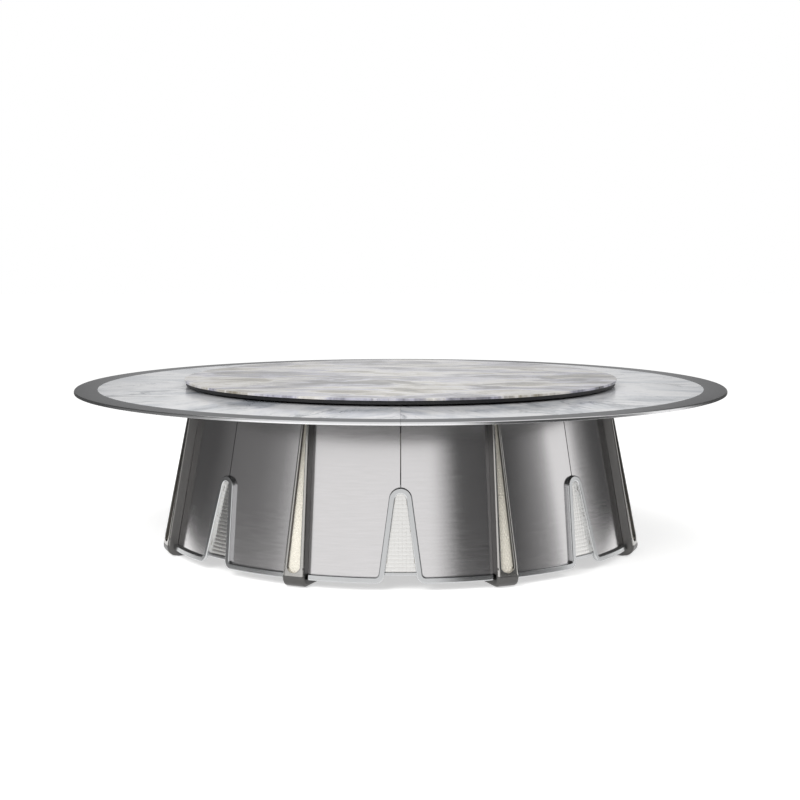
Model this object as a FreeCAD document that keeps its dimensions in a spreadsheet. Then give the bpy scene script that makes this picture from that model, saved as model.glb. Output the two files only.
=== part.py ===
import FreeCAD, Part
import math
import os
import Sketcher

# Round banquet table with a stone turntable, standing on a conical ribbed drum.
# Millimetres; the origin is on the floor under the centre, +Z up, the front bay faces -Y.
# Every piece is drawn with its own radial direction along +X and then turned to its place.

SIZES = {
    # top
    "table_height": 760,
    "table_diameter": 3130,
    "stone_thickness": 20,
    "stone_inner_radius": 900,
    "stone_joint": 1,
    "deck_thickness": 18,
    "deck_sectors": 4,
    "deck_joint": 1,
    "centre_board_radius": 550,
    # metal edge round the top
    "edge_width": 108,
    "edge_metal": 3,
    "edge_bevel": 4,
    "edge_face": 9,
    "edge_undercut": 220,
    "edge_lip": 10,
    # turntable
    "turntable_diameter": 2100,
    "turntable_gap": 10,
    "turntable_board": 16,
    "turntable_stone": 10,
    "turntable_sectors": 4,
    "turntable_setback": 7,
    "turntable_chamfer": 2,
    "band_thickness": 2,
    "band_gap": 0.1,
    # swivel bearing
    "bearing_radius": 480,
    "race_width": 50,
    "race_lip": 4,
    "roller_diameter": 12,
    "roller_length": 16,
    "roller_count": 24,
    "roller_clearance": 0.3,
    "cage_thickness": 5,
    "cage_width": 32,
    # conical drum
    "bay_count": 8,
    "skirt_floor_radius": 1148,
    "skirt_lean": 11.3,
    "skirt_sheet": 3,
    "seam_gap": 2,
    "seat_gap": 0.3,
    # bar that frames each bay
    "trim_width": 25,
    "trim_depth": 22,
    "trim_bevel": 6,
    "trim_floor_gap": 35,
    # arched notch of a bay, along the middle of its bar
    "notch_arch_radius": 36.5,
    "notch_arch_height": 376,
    "notch_flare": 7.8,
    "notch_corner_radius": 16,
    "infill_sheet": 3,
    "sill_lift": 32,
    "sill_height": 14,
    "sill_depth": 9,
    # ribs
    "rib_depth": 44,
    "rib_foot_width": 104,
    "rib_head_width": 34,
    "rib_bend_radius": 42,
    "foot_length": 200,
    "slot_bottom": 66,
    "slot_head_gap": 20,
    "slot_bottom_width": 60,
    "slot_foot_radius": 31,
    "slot_top_width": 13,
    "insert_sheet": 5,
    "insert_lap": 5,
    "insert_recess": 16,
    "pad_thickness": 3,
    "pad_length": 150,
    "pad_width": 70,
    "pad_setback": 5,
    # carcass inside the drum
    "post_size": 40,
    "former_thickness": 18,
    "former_width": 80,
    "lower_former_height": 92,
    "middle_former_height": 432,
    "beam_width": 40,
    "beam_height": 60,
    "beam_gap": 10,
    "beam_end_gap": 1,
    "hub_radius": 220,
    "hub_thickness": 8,
    "arm_width": 60,
    "arm_thickness": 10,
    "arm_setback": 20,
    "arm_end_gap": 20,
    # how far a blank or a cutting sketch runs past the finished edge
    "cut_spare": 15,
}

doc = FreeCAD.newDocument("banquet_table")
sheet = doc.addObject("Spreadsheet::Sheet", "Sizes")
for row, (alias, number) in enumerate(SIZES.items(), start=1):
    sheet.set(f"A{row}", alias)
    sheet.set(f"B{row}", str(number))
    sheet.setAlias(f"B{row}", alias)
doc.recompute()


# ---- expressions that several pieces share -------------------------------------------------

def cell(formula):
    """The formula with every size name pointed at its cell in the sheet."""
    words = []
    word = ""
    for mark in str(formula) + " ":
        if mark.isalnum() or mark in "_.":
            word += mark
            continue
        words.append(f"Sizes.{word}" if word in SIZES else word)
        words.append(mark)
        word = ""
    return "".join(words).strip()


def size(formula):
    """The formula's value now, in millimetres or degrees."""
    value = sheet.evalExpression(cell(formula))
    return float(getattr(value, "Value", value))


SLOPE = "tan(skirt_lean)"
STONE_BASE = "(table_height - stone_thickness)"
DECK_BASE = f"({STONE_BASE} - deck_thickness)"
TABLE_RADIUS = "(table_diameter / 2)"
EDGE_INNER = f"({TABLE_RADIUS} - edge_width)"
DECK_RADIUS = f"({TABLE_RADIUS} - edge_undercut - edge_lip)"
BOARD_BASE = "(table_height + turntable_gap)"
BOARD_TOP = f"({BOARD_BASE} + turntable_board)"
TURN_RADIUS = "(turntable_diameter / 2)"
ROLLER_LEVEL = f"(({STONE_BASE} + {BOARD_BASE}) / 2)"
RIB_FOOT_TOP = "(pad_thickness + rib_depth)"
BEAM_BASE = f"({DECK_BASE} - beam_height)"
HALF_BAY = "(180 deg / bay_count)"
BAY = "(360 deg / bay_count)"
PAST_DRUM = "(skirt_floor_radius + trim_depth + rib_depth + cut_spare)"
BEHIND_SKIN = "(skirt_sheet + seat_gap)"
DRUM_TOP = f"({DECK_BASE} - seat_gap)"


def skirt_at(height, inset="0"):
    """Radius of the drum's outer cone at a height, less an inset."""
    return f"(skirt_floor_radius - ({height}) * {SLOPE} - ({inset}))"


# ---- drawing helpers -----------------------------------------------------------------------

def new_body(label):
    body = doc.addObject("PartDesign::Body", label)
    body.Label = label
    body.AllowCompound = True
    return body


def origin_plane(body, role):
    return next(plane for plane in body.Origin.OriginFeatures if plane.Role == role)


def outline(body, role, corners, turn="0", lift="0"):
    """A closed sketch through the corners (x, y) or (x, y, radius).

    A third number makes the edge that leaves the corner an arc of that radius, positive when it
    turns left. Every corner is held to the sketch's origin by its own formulas.
    """
    sketch = body.newObject("Sketcher::SketchObject", f"{body.Label}_outline")
    sketch.AttachmentSupport = [(origin_plane(body, role), "")]
    sketch.MapMode = "FlatFace"
    if turn != "0":
        sketch.AttachmentOffset = FreeCAD.Placement(
            FreeCAD.Vector(), FreeCAD.Rotation(FreeCAD.Vector(0, 1, 0), size(turn)))
    if lift != "0":
        sketch.setExpression("AttachmentOffset.Base.z", cell(lift))
    add_loop(sketch, corners)
    return sketch


def add_loop(sketch, corners):
    first = sketch.GeometryCount
    places = [FreeCAD.Vector(size(corner[0]), size(corner[1]), 0) for corner in corners]
    for index, corner in enumerate(corners):
        start = places[index]
        end = places[(index + 1) % len(places)]
        if len(corner) == 2:
            sketch.addGeometry(Part.LineSegment(start, end))
            continue
        radius = size(corner[2])
        chord = end - start
        reach = abs(radius)
        rise = math.sqrt(max(reach ** 2 - chord.Length ** 2 / 4, 0)) * math.copysign(1, radius)
        left = FreeCAD.Vector(-chord.y, chord.x, 0).normalize()
        centre = start + chord * 0.5 + left * rise
        if radius > 0:
            low, high = start - centre, end - centre
        else:
            low, high = end - centre, start - centre
        circle = Part.Circle(centre, FreeCAD.Vector(0, 0, 1), reach)
        sketch.addGeometry(Part.ArcOfCircle(circle, math.atan2(low.y, low.x), math.atan2(high.y, high.x)))
    count = len(corners)
    for index, corner in enumerate(corners):
        leaving = first + index
        arriving = first + (index - 1) % count
        start_point = 2 if len(corner) == 3 and size(corner[2]) < 0 else 1
        before = corners[(index - 1) % count]
        end_point = 1 if len(before) == 3 and size(before[2]) < 0 else 2
        sketch.addConstraint(Sketcher.Constraint("Coincident", arriving, end_point, leaving, start_point))
        for kind, axis_value, formula in (("DistanceX", places[index].x, corner[0]),
                                          ("DistanceY", places[index].y, corner[1])):
            number = sketch.addConstraint(
                Sketcher.Constraint(kind, -1, 1, leaving, start_point, axis_value))
            if any(name in formula for name in SIZES):
                sketch.setExpression(f"Constraints[{number}]", cell(formula))
        if len(corner) == 3:
            number = sketch.addConstraint(Sketcher.Constraint("Radius", leaving, abs(size(corner[2]))))
            sketch.setExpression(f"Constraints[{number}]", cell(f"abs({corner[2]})"))


def circle_sketch(body, role, x, y, diameter, lift="0"):
    sketch = body.newObject("Sketcher::SketchObject", f"{body.Label}_circle")
    sketch.AttachmentSupport = [(origin_plane(body, role), "")]
    sketch.MapMode = "FlatFace"
    if lift != "0":
        sketch.setExpression("AttachmentOffset.Base.z", cell(lift))
    sketch.addGeometry(Part.Circle(
        FreeCAD.Vector(size(x), size(y), 0), FreeCAD.Vector(0, 0, 1), size(diameter) / 2))
    for kind, formula in (("DistanceX", x), ("DistanceY", y)):
        number = sketch.addConstraint(Sketcher.Constraint(kind, -1, 1, 0, 3, size(formula)))
        if any(name in formula for name in SIZES):
            sketch.setExpression(f"Constraints[{number}]", cell(formula))
    number = sketch.addConstraint(Sketcher.Constraint("Diameter", 0, size(diameter)))
    sketch.setExpression(f"Constraints[{number}]", cell(diameter))
    return sketch


LEAST_CHANGE = 1.0  # cubic millimetres


def finish_feature(body, feature):
    """Recompute, make the feature the tip, and check that it changed the volume."""
    before = body.Shape.Volume if not body.Shape.isNull() else 0
    body.Tip = feature
    doc.recompute()
    if feature.Shape.isNull():
        raise RuntimeError(f"{feature.Label} failed: {feature.getStatusString()}")
    if abs(feature.Shape.Volume - before) < LEAST_CHANGE:
        raise RuntimeError(f"{feature.Label} changed nothing")
    return feature


def revolve(body, corners, angle="360"):
    """Turn a profile (radius, height) about Z, evenly to both sides of +X."""
    sketch = outline(body, "XZ_Plane", corners)
    feature = body.newObject("PartDesign::Revolution", f"{body.Label}_turned")
    feature.Profile = sketch
    feature.ReferenceAxis = (sketch, ["V_Axis"])
    feature.Midplane = angle != "360"
    feature.setExpression("Angle", cell(angle))
    sketch.Visibility = False
    return finish_feature(body, feature)


def pad(body, sketch, length, midplane=False):
    feature = body.newObject("PartDesign::Pad", f"{body.Label}_pad")
    feature.Profile = sketch
    feature.setExpression("Length", cell(length))
    feature.Midplane = midplane
    return finish_feature(body, feature)


def pocket(body, sketch, length):
    """Cut the sketch away along its normal."""
    feature = body.newObject("PartDesign::Pocket", f"{body.Label}_pocket")
    feature.Profile = sketch
    feature.setExpression("Length", cell(length))
    feature.Reversed = True
    return finish_feature(body, feature)


def pattern(body, count, features=()):
    """Repeat the features evenly about Z, or the whole body where none is given."""
    ring = body.newObject("PartDesign::PolarPattern", f"{body.Label}_ring")
    if features:
        ring.Originals = features
    else:
        ring.TransformMode = "Whole shape"
    ring.Axis = (next(axis for axis in body.Origin.OriginFeatures if axis.Role == "Z_Axis"), [""])
    ring.Angle = 360
    ring.setExpression("Occurrences", cell(count))
    return finish_feature(body, ring)


def bevel_edges(body, chosen, width):
    """Chamfer the tip's edges that pass the test chosen(edge)."""
    base = body.Tip
    names = [f"Edge{i}" for i, edge in enumerate(base.Shape.Edges, start=1) if chosen(edge)]
    feature = body.newObject("PartDesign::Chamfer", f"{body.Label}_bevel")
    feature.Base = (base, names)
    feature.setExpression("Size", cell(width))
    return finish_feature(body, feature)


def turn_to(body, degrees):
    body.Placement = FreeCAD.Placement(
        FreeCAD.Vector(), FreeCAD.Rotation(FreeCAD.Vector(0, 0, 1), degrees))


bays = int(size("bay_count"))
BAY_ANGLES = [-90 + index * size(BAY) for index in range(bays)]
RIB_ANGLES = [angle + size(HALF_BAY) for angle in BAY_ANGLES]
pieces = []


# ---- the arched notch ------------------------------------------------------------------------

def flank(offset, height):
    """Half width of the notch at a height, measured to a line the offset outside the bar's middle."""
    return (f"((notch_arch_radius + ({offset})) / cos(notch_flare)"
            f" + (notch_arch_height - ({height})) * tan(notch_flare))")


CORNER_HEIGHT = "(trim_floor_gap + trim_width + notch_corner_radius)"
CORNER_ACROSS = flank("trim_width / 2 + notch_corner_radius", CORNER_HEIGHT)
NOTCH_TOP = "(notch_arch_height + notch_arch_radius + trim_width)"
NOTCH_ANGLE = f"2 * asin({flank('trim_width', '0')} / {skirt_at('0')})"
SILL_LOW = "(trim_floor_gap + sill_lift)"
BLANK_FOOT = "(trim_floor_gap - cut_spare)"
BAY_REACH = "(skirt_floor_radius * tan(180 / bay_count))"


def bay_line(offset):
    """The line round a notch, from its left foot over the arch to its right foot.

    The offset is from the middle of the bar: positive is the panel side, negative the notch side.
    """
    bend = f"(notch_corner_radius + trim_width / 2 - ({offset}))"
    arch = f"(notch_arch_radius + ({offset}))"
    flank_y = f"({CORNER_ACROSS} - {bend} * cos(notch_flare))"
    flank_z = f"({CORNER_HEIGHT} - {bend} * sin(notch_flare))"
    arch_y = f"({arch} * cos(notch_flare))"
    arch_z = f"(notch_arch_height + {arch} * sin(notch_flare))"
    foot_z = f"({CORNER_HEIGHT} - {bend})"
    return [
        (f"-{CORNER_ACROSS}", foot_z, bend),
        (f"-{flank_y}", flank_z),
        (f"-{arch_y}", arch_z, f"-{arch}"),
        (arch_y, arch_z),
        (flank_y, flank_z, bend),
        (CORNER_ACROSS, foot_z),
    ]


def below_line(offset):
    """Everything under the bay's line: the notch and the strip below the panel."""
    line = bay_line(offset)
    foot_z = line[0][1]
    return ([(f"-{BAY_REACH}", foot_z)] + line
            + [(BAY_REACH, foot_z), (BAY_REACH, "-cut_spare"), (f"-{BAY_REACH}", "-cut_spare")])


def above_line(offset, top):
    """Everything over the bay's line, up to a little past the top of the piece that is cut."""
    line = bay_line(offset)
    foot_z = line[0][1]
    past_top = f"({top} + cut_spare)"
    return ([(f"-{BAY_REACH}", foot_z)] + line
            + [(BAY_REACH, foot_z), (BAY_REACH, past_top), (f"-{BAY_REACH}", past_top)])


def cone_strip(low, high, back, front):
    """Profile of a strip lying on the drum's cone, between two heights and two depths."""
    return [
        (skirt_at(low, back), low),
        (skirt_at(low, front), low),
        (skirt_at(high, front), high),
        (skirt_at(high, back), high),
    ]


# ---- drum skin: one leaf from seam to seam, with a rib over its middle ----------------------

def skirt_leaf(index):
    body = new_body(f"skirt_leaf_{index + 1}")
    revolve(body, cone_strip(BLANK_FOOT, DRUM_TOP, "skirt_sheet", "0"),
            f"{BAY} - 2 * asin(seam_gap / 2 / skirt_floor_radius)")
    for side in (f"-{HALF_BAY}", HALF_BAY):
        sketch = outline(body, "YZ_Plane", below_line("0"), turn=side)
        pocket(body, sketch, PAST_DRUM)
    turn_to(body, RIB_ANGLES[index])
    return body


pieces += [skirt_leaf(index) for index in range(bays)]


# ---- bar round each bay: along the foot of the panels, up and over the notch ------------------

CONE_TOLERANCE = 0.02  # millimetres


def lies_on_cone(edge, depth):
    """Whether an edge lies on the cone that stands the given depth outside the skin."""
    low, high = edge.ParameterRange
    for share in (0.2, 0.5, 0.8):
        place = edge.valueAt(low + (high - low) * share)
        if abs(math.hypot(place.x, place.y) - size(skirt_at(str(place.z))) - depth) > CONE_TOLERANCE:
            return False
    return True


RIB_HALF_ANGLE = f"asin((rib_foot_width / 2 + seat_gap) / {skirt_at('trim_floor_gap')})"


def bay_trims():
    body = new_body("bay_trims")
    revolve(body, cone_strip(BLANK_FOOT, NOTCH_TOP, "0", "-trim_depth"), f"{BAY} - 2 * {RIB_HALF_ANGLE}")
    pocket(body, outline(body, "YZ_Plane", below_line("-trim_width / 2")), PAST_DRUM)
    pocket(body, outline(body, "YZ_Plane", above_line("trim_width / 2", NOTCH_TOP)), PAST_DRUM)
    depth = size("trim_depth")
    bevel_edges(body, lambda edge: edge.Length > depth and lies_on_cone(edge, depth), "trim_bevel")
    pattern(body, "bay_count")
    turn_to(body, BAY_ANGLES[0])
    return body


pieces.append(bay_trims())


# ---- panel inside each notch, and the small sill along its foot -------------------------------

def notch_infills():
    body = new_body("notch_infills")
    strip = revolve(body, cone_strip(SILL_LOW, NOTCH_TOP, "infill_sheet", "0"), NOTCH_ANGLE)
    cut = pocket(body, outline(body, "YZ_Plane", above_line("-seat_gap", NOTCH_TOP)), PAST_DRUM)
    pattern(body, "bay_count", [strip, cut])
    turn_to(body, BAY_ANGLES[0])
    return body


def notch_sills():
    body = new_body("notch_sills")
    high = f"({SILL_LOW} + sill_height)"
    strip = revolve(body, cone_strip(SILL_LOW, high, "-seat_gap", "-sill_depth"), NOTCH_ANGLE)
    cut = pocket(body, outline(body, "YZ_Plane", above_line("-trim_width / 2 - seat_gap", high)), PAST_DRUM)
    pattern(body, "bay_count", [strip, cut])
    turn_to(body, BAY_ANGLES[0])
    return body


pieces.append(notch_infills())
pieces.append(notch_sills())


# ---- ribs: a tapered frame with a long slot, bent under the drum as a foot ---------------------

SLOT_TOP = f"({DRUM_TOP} - slot_head_gap)"


def rib_width_at(height):
    return ("(rib_foot_width - (rib_foot_width - rib_head_width)"
            f" * ({height} - pad_thickness) / ({DRUM_TOP} - pad_thickness))")


def rib_face(height, depth="rib_depth"):
    """Radius of the flat face that stands a depth outside the line where rib and drum meet."""
    return f"({skirt_at(height)} + seat_gap + ({depth}) / cos(skirt_lean))"


def rib_outline():
    """Side view of the rib: back, foot, sole, bend and front face."""
    bend_height = "(pad_thickness + rib_bend_radius)"
    bend_centre = f"({rib_face(bend_height)} - rib_bend_radius / cos(skirt_lean))"
    toe = rib_face(RIB_FOOT_TOP, "0")
    return [
        (rib_face(DRUM_TOP, "0"), DRUM_TOP),
        (toe, RIB_FOOT_TOP),
        (f"({toe} - foot_length)", RIB_FOOT_TOP),
        (f"({toe} - foot_length)", "pad_thickness"),
        (bend_centre, "pad_thickness", "rib_bend_radius"),
        (f"({bend_centre} + rib_bend_radius * cos(skirt_lean))",
         f"({bend_height} + rib_bend_radius * sin(skirt_lean))"),
        (rib_face(DRUM_TOP), DRUM_TOP),
    ]


def slot_outline(inset):
    """Front view of the slot, drawn in by the inset: straight tapering sides and a round foot."""
    half_low = f"(slot_bottom_width / 2 - ({inset}))"
    half_high = f"(slot_top_width / 2 - ({inset}))"
    bend = f"(slot_foot_radius - ({inset}))"
    shoulder = f"(slot_bottom + slot_foot_radius - sqrt({bend} * {bend} - {half_low} * {half_low}))"
    return [
        (f"-{half_low}", shoulder, bend),
        (half_low, shoulder),
        (half_high, f"({SLOT_TOP} - ({inset}))"),
        (f"-{half_high}", f"({SLOT_TOP} - ({inset}))"),
    ]


def rib(index):
    body = new_body(f"rib_{index + 1}")
    pad(body, outline(body, "XZ_Plane", rib_outline()), "rib_foot_width", midplane=True)
    foot = f"({rib_width_at('pad_thickness')} / 2)"
    head = f"({rib_width_at(DRUM_TOP)} / 2)"
    for side in ("", "-"):
        sketch = outline(body, "YZ_Plane", [
            (f"{side}{foot}", "pad_thickness"),
            (f"{side}{head}", DRUM_TOP),
            (f"{side}{head}", f"({DRUM_TOP} + cut_spare)"),
            (f"{side}({foot} + cut_spare)", f"({DRUM_TOP} + cut_spare)"),
            (f"{side}({foot} + cut_spare)", "pad_thickness"),
        ])
        pocket(body, sketch, PAST_DRUM)
    pocket(body, outline(body, "YZ_Plane", slot_outline("0")), PAST_DRUM)
    turn_to(body, RIB_ANGLES[index])
    return body


pieces += [rib(index) for index in range(bays)]


def rib_inserts():
    """Embossed strip that fills each slot, set back from the rib's face."""
    body = new_body("rib_inserts")
    front = "(rib_depth - insert_recess)"
    back = f"({front} - insert_sheet)"
    low, high = "(slot_bottom - insert_lap)", f"({SLOT_TOP} + insert_lap)"
    plate = pad(body, outline(body, "XZ_Plane", [
        (rib_face(low, back), low),
        (rib_face(low, front), low),
        (rib_face(high, front), high),
        (rib_face(high, back), high),
    ]), "rib_foot_width", midplane=True)
    sketch = outline(body, "YZ_Plane", slot_outline("seat_gap"))
    add_loop(sketch, [("-rib_foot_width", "0"), ("rib_foot_width", "0"),
                      ("rib_foot_width", "table_height"), ("-rib_foot_width", "table_height")])
    cut = pocket(body, sketch, PAST_DRUM)
    pattern(body, "bay_count", [plate, cut])
    turn_to(body, RIB_ANGLES[0])
    return body


pieces.append(rib_inserts())


def glide_pads():
    """Felt-faced glide glued under each foot: the only pieces that touch the floor."""
    body = new_body("glide_pads")
    outer = f"({rib_face(RIB_FOOT_TOP, '0')} - pad_setback)"
    slab = pad(body, outline(body, "XY_Plane", [
        (f"({outer} - pad_length)", "-pad_width / 2"),
        (outer, "-pad_width / 2"),
        (outer, "pad_width / 2"),
        (f"({outer} - pad_length)", "pad_width / 2"),
    ]), "pad_thickness")
    pattern(body, "bay_count", [slab])
    turn_to(body, RIB_ANGLES[0])
    return body


pieces.append(glide_pads())


# ---- carcass inside the drum: posts, ring formers, beams and hub ------------------------------

def carcass_posts():
    """Square tube behind each rib, leaning with the drum, from the foot to the beams."""
    body = new_body("carcass_posts")
    inner = f"({BEHIND_SKIN} + post_size / cos(skirt_lean))"
    tube = pad(body, outline(body, "XZ_Plane", [
        (skirt_at(RIB_FOOT_TOP, inner), RIB_FOOT_TOP),
        (skirt_at(RIB_FOOT_TOP, BEHIND_SKIN), RIB_FOOT_TOP),
        (skirt_at(BEAM_BASE, BEHIND_SKIN), BEAM_BASE),
        (skirt_at(BEAM_BASE, inner), BEAM_BASE),
    ]), "post_size", midplane=True)
    pattern(body, "bay_count", [tube])
    turn_to(body, RIB_ANGLES[0])
    return body


def former(label, low):
    """Ring cut from board in eight sectors, one between each pair of posts, that shapes the skin."""
    body = new_body(label)
    high = f"({low} + former_thickness)"
    narrow = f"({skirt_at(high, BEHIND_SKIN)} - former_width)"
    sector = revolve(body, [
        (narrow, low),
        (skirt_at(low, BEHIND_SKIN), low),
        (skirt_at(high, BEHIND_SKIN), high),
        (narrow, high),
    ], f"{BAY} - 2 * asin((post_size / 2 + seat_gap) / {narrow})")
    pattern(body, "bay_count", [sector])
    turn_to(body, BAY_ANGLES[0])
    return body


def cross_beams():
    """Steel tubes from the hub to the drum, over the posts."""
    body = new_body("cross_beams")
    inner = "(beam_width / 2 / tan(180 / bay_count) + seat_gap + beam_gap)"
    outer = f"({skirt_at(DECK_BASE, 'skirt_sheet + 2 * seat_gap')} - beam_end_gap)"
    tube = pad(body, outline(body, "XY_Plane", [
        (inner, "-beam_width / 2"),
        (outer, "-beam_width / 2"),
        (outer, "beam_width / 2"),
        (inner, "beam_width / 2"),
    ], lift=BEAM_BASE), "beam_height")
    pattern(body, "bay_count", [tube])
    turn_to(body, RIB_ANGLES[0])
    return body


def hub_plate():
    """Round plate under the inner ends of the beams, which ties them together."""
    body = new_body("hub_plate")
    revolve(body, [("0", f"({BEAM_BASE} - hub_thickness)"), ("hub_radius", f"({BEAM_BASE} - hub_thickness)"),
                   ("hub_radius", BEAM_BASE), ("0", BEAM_BASE)])
    return body


pieces.append(carcass_posts())
pieces.append(former("lower_former", "lower_former_height"))
pieces.append(former("middle_former", "middle_former_height"))
pieces.append(former("upper_former", f"({BEAM_BASE} - former_thickness)"))
pieces.append(cross_beams())
pieces.append(hub_plate())


# ---- deck: arms let into boards ---------------------------------------------------------------

ARM_START = "(centre_board_radius + arm_setback)"
ARM_END = f"({DECK_RADIUS} - arm_end_gap)"


def centre_board():
    body = new_body("centre_board")
    revolve(body, [("0", DECK_BASE), ("centre_board_radius", DECK_BASE),
                   ("centre_board_radius", STONE_BASE), ("0", STONE_BASE)])
    return body


def deck_boards():
    """Ring of plywood in sectors, grooved underneath for the arms; the joints run over arms."""
    body = new_body("deck_boards")
    inner = "(centre_board_radius + deck_joint)"
    revolve(body, [(inner, DECK_BASE), (DECK_RADIUS, DECK_BASE),
                   (DECK_RADIUS, STONE_BASE), (inner, STONE_BASE)])
    groove = pocket(body, outline(body, "XY_Plane", [
        (f"({ARM_START} - seat_gap)", "-arm_width / 2 - seat_gap"),
        (f"({ARM_END} + seat_gap)", "-arm_width / 2 - seat_gap"),
        (f"({ARM_END} + seat_gap)", "arm_width / 2 + seat_gap"),
        (f"({ARM_START} - seat_gap)", "arm_width / 2 + seat_gap"),
    ], lift=DECK_BASE), "arm_thickness + seat_gap")
    pattern(body, "bay_count", [groove])
    joint = pocket(body, outline(body, "XY_Plane", [
        ("centre_board_radius", "-deck_joint / 2"),
        (TABLE_RADIUS, "-deck_joint / 2"),
        (TABLE_RADIUS, "deck_joint / 2"),
        ("centre_board_radius", "deck_joint / 2"),
    ], lift=DECK_BASE), "deck_thickness")
    pattern(body, "deck_sectors", [joint])
    turn_to(body, RIB_ANGLES[0])
    return body


def deck_arms():
    """Flat steel bars let into the deck, from the beams out under the overhang."""
    body = new_body("deck_arms")
    bar = pad(body, outline(body, "XY_Plane", [
        (ARM_START, "-arm_width / 2"),
        (ARM_END, "-arm_width / 2"),
        (ARM_END, "arm_width / 2"),
        (ARM_START, "arm_width / 2"),
    ], lift=DECK_BASE), "arm_thickness")
    pattern(body, "bay_count", [bar])
    turn_to(body, RIB_ANGLES[0])
    return body


pieces.append(centre_board())
pieces.append(deck_boards())
pieces.append(deck_arms())


# ---- stone ring -------------------------------------------------------------------------------

def stone_ring(index):
    body = new_body(f"stone_ring_{index + 1}")
    outer = f"({EDGE_INNER} - seat_gap)"
    revolve(body, [("stone_inner_radius", STONE_BASE), (outer, STONE_BASE),
                   (outer, "table_height"), ("stone_inner_radius", "table_height")],
            f"{BAY} - 2 * asin(stone_joint / 2 / {outer})")
    turn_to(body, RIB_ANGLES[index])
    return body


# ---- edge: a board packer round the deck, wrapped in folded metal -----------------------------

EDGE_SIDE_LOW = "(table_height - edge_bevel - edge_face)"
UNDER_SLOPE = f"atan(({EDGE_SIDE_LOW} - {DECK_BASE}) / edge_undercut)"


def edge_outer(gap):
    """Outer outline of the edge drawn in by a gap, from the top's inner end round to the lip.

    Below the upright face the edge slopes in to the underside of the deck.
    """
    turn = f"(({gap}) * tan(22.5))"
    return [
        (EDGE_INNER, f"(table_height - ({gap}))"),
        (f"({TABLE_RADIUS} - edge_bevel - {turn})", f"(table_height - ({gap}))"),
        (f"({TABLE_RADIUS} - ({gap}))", f"(table_height - edge_bevel - {turn})"),
        (f"({TABLE_RADIUS} - ({gap}))", f"({EDGE_SIDE_LOW} + ({gap}) * tan(45 deg - {UNDER_SLOPE} / 2))"),
        (f"({TABLE_RADIUS} - edge_undercut - ({gap}) * tan({UNDER_SLOPE} / 2))", f"({DECK_BASE} + ({gap}))"),
        (f"({DECK_RADIUS} + seat_gap)", f"({DECK_BASE} + ({gap}))"),
    ]


def edge_band(index):
    body = new_body(f"edge_band_{index + 1}")
    revolve(body, edge_outer("0") + edge_outer("edge_metal")[::-1],
            f"{BAY} - 2 * asin(stone_joint / 2 / {TABLE_RADIUS})")
    turn_to(body, RIB_ANGLES[index])
    return body


def edge_packers():
    body = new_body("edge_packers")
    wrap = edge_outer("edge_metal + seat_gap")
    sector = revolve(body, wrap + [(f"({DECK_RADIUS} + seat_gap)", STONE_BASE), (EDGE_INNER, STONE_BASE)],
                     f"{BAY} - 2 * asin(deck_joint / {EDGE_INNER})")
    pattern(body, "bay_count", [sector])
    turn_to(body, RIB_ANGLES[0])
    return body


pieces += [stone_ring(index) for index in range(bays)]
pieces += [edge_band(index) for index in range(bays)]
pieces.append(edge_packers())


# ---- swivel bearing: two lipped races with a caged ring of rollers between them ---------------

RACE_INNER = "(bearing_radius - race_width / 2)"
RACE_OUTER = "(bearing_radius + race_width / 2)"
TRACK_REACH = "(roller_diameter / 2 + roller_clearance)"


def lower_race():
    """Angle ring on the centre board: a flat track with a lip outside the rollers."""
    body = new_body("lower_race")
    track = f"({ROLLER_LEVEL} - {TRACK_REACH})"
    lip_top = f"({ROLLER_LEVEL} + roller_diameter / 4)"
    revolve(body, [
        (RACE_INNER, STONE_BASE),
        (RACE_OUTER, STONE_BASE),
        (RACE_OUTER, lip_top),
        (f"({RACE_OUTER} - race_lip)", lip_top),
        (f"({RACE_OUTER} - race_lip)", track),
        (RACE_INNER, track),
    ])
    return body


def upper_race():
    """Angle ring under the turntable's board: its lip hangs inside the rollers."""
    body = new_body("upper_race")
    track = f"({ROLLER_LEVEL} + {TRACK_REACH})"
    lip_foot = f"({ROLLER_LEVEL} - roller_diameter / 4)"
    revolve(body, [
        (RACE_INNER, BOARD_BASE),
        (RACE_INNER, lip_foot),
        (f"({RACE_INNER} + race_lip)", lip_foot),
        (f"({RACE_INNER} + race_lip)", track),
        (RACE_OUTER, track),
        (RACE_OUTER, BOARD_BASE),
    ])
    return body


def bearing_rollers():
    """Steel rollers lying on the lower track, each pointing at the centre."""
    body = new_body("bearing_rollers")
    roller = pad(body, circle_sketch(body, "YZ_Plane", "0", ROLLER_LEVEL, "roller_diameter",
                                     lift="(bearing_radius - roller_length / 2)"), "roller_length")
    pattern(body, "roller_count", [roller])
    return body


def roller_cage():
    """Flat ring that keeps the rollers apart, with an open window for each."""
    body = new_body("roller_cage")
    low = f"({ROLLER_LEVEL} - cage_thickness / 2)"
    inner = "(bearing_radius - cage_width / 2)"
    outer = "(bearing_radius + cage_width / 2)"
    revolve(body, [(inner, low), (outer, low), (outer, f"({low} + cage_thickness)"),
                   (inner, f"({low} + cage_thickness)")])
    near = "(bearing_radius - roller_length / 2 - roller_clearance)"
    far = "(bearing_radius + roller_length / 2 + roller_clearance)"
    window = pocket(body, outline(body, "XY_Plane", [
        (near, f"-{TRACK_REACH}"),
        (far, f"-{TRACK_REACH}"),
        (far, TRACK_REACH),
        (near, TRACK_REACH),
    ], lift=low), "cage_thickness")
    pattern(body, "roller_count", [window])
    return body


pieces.append(lower_race())
pieces.append(upper_race())
pieces.append(bearing_rollers())
pieces.append(roller_cage())


# ---- turntable ----------------------------------------------------------------------------------

BOARD_RADIUS = f"({TURN_RADIUS} - turntable_setback - band_thickness)"


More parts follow.
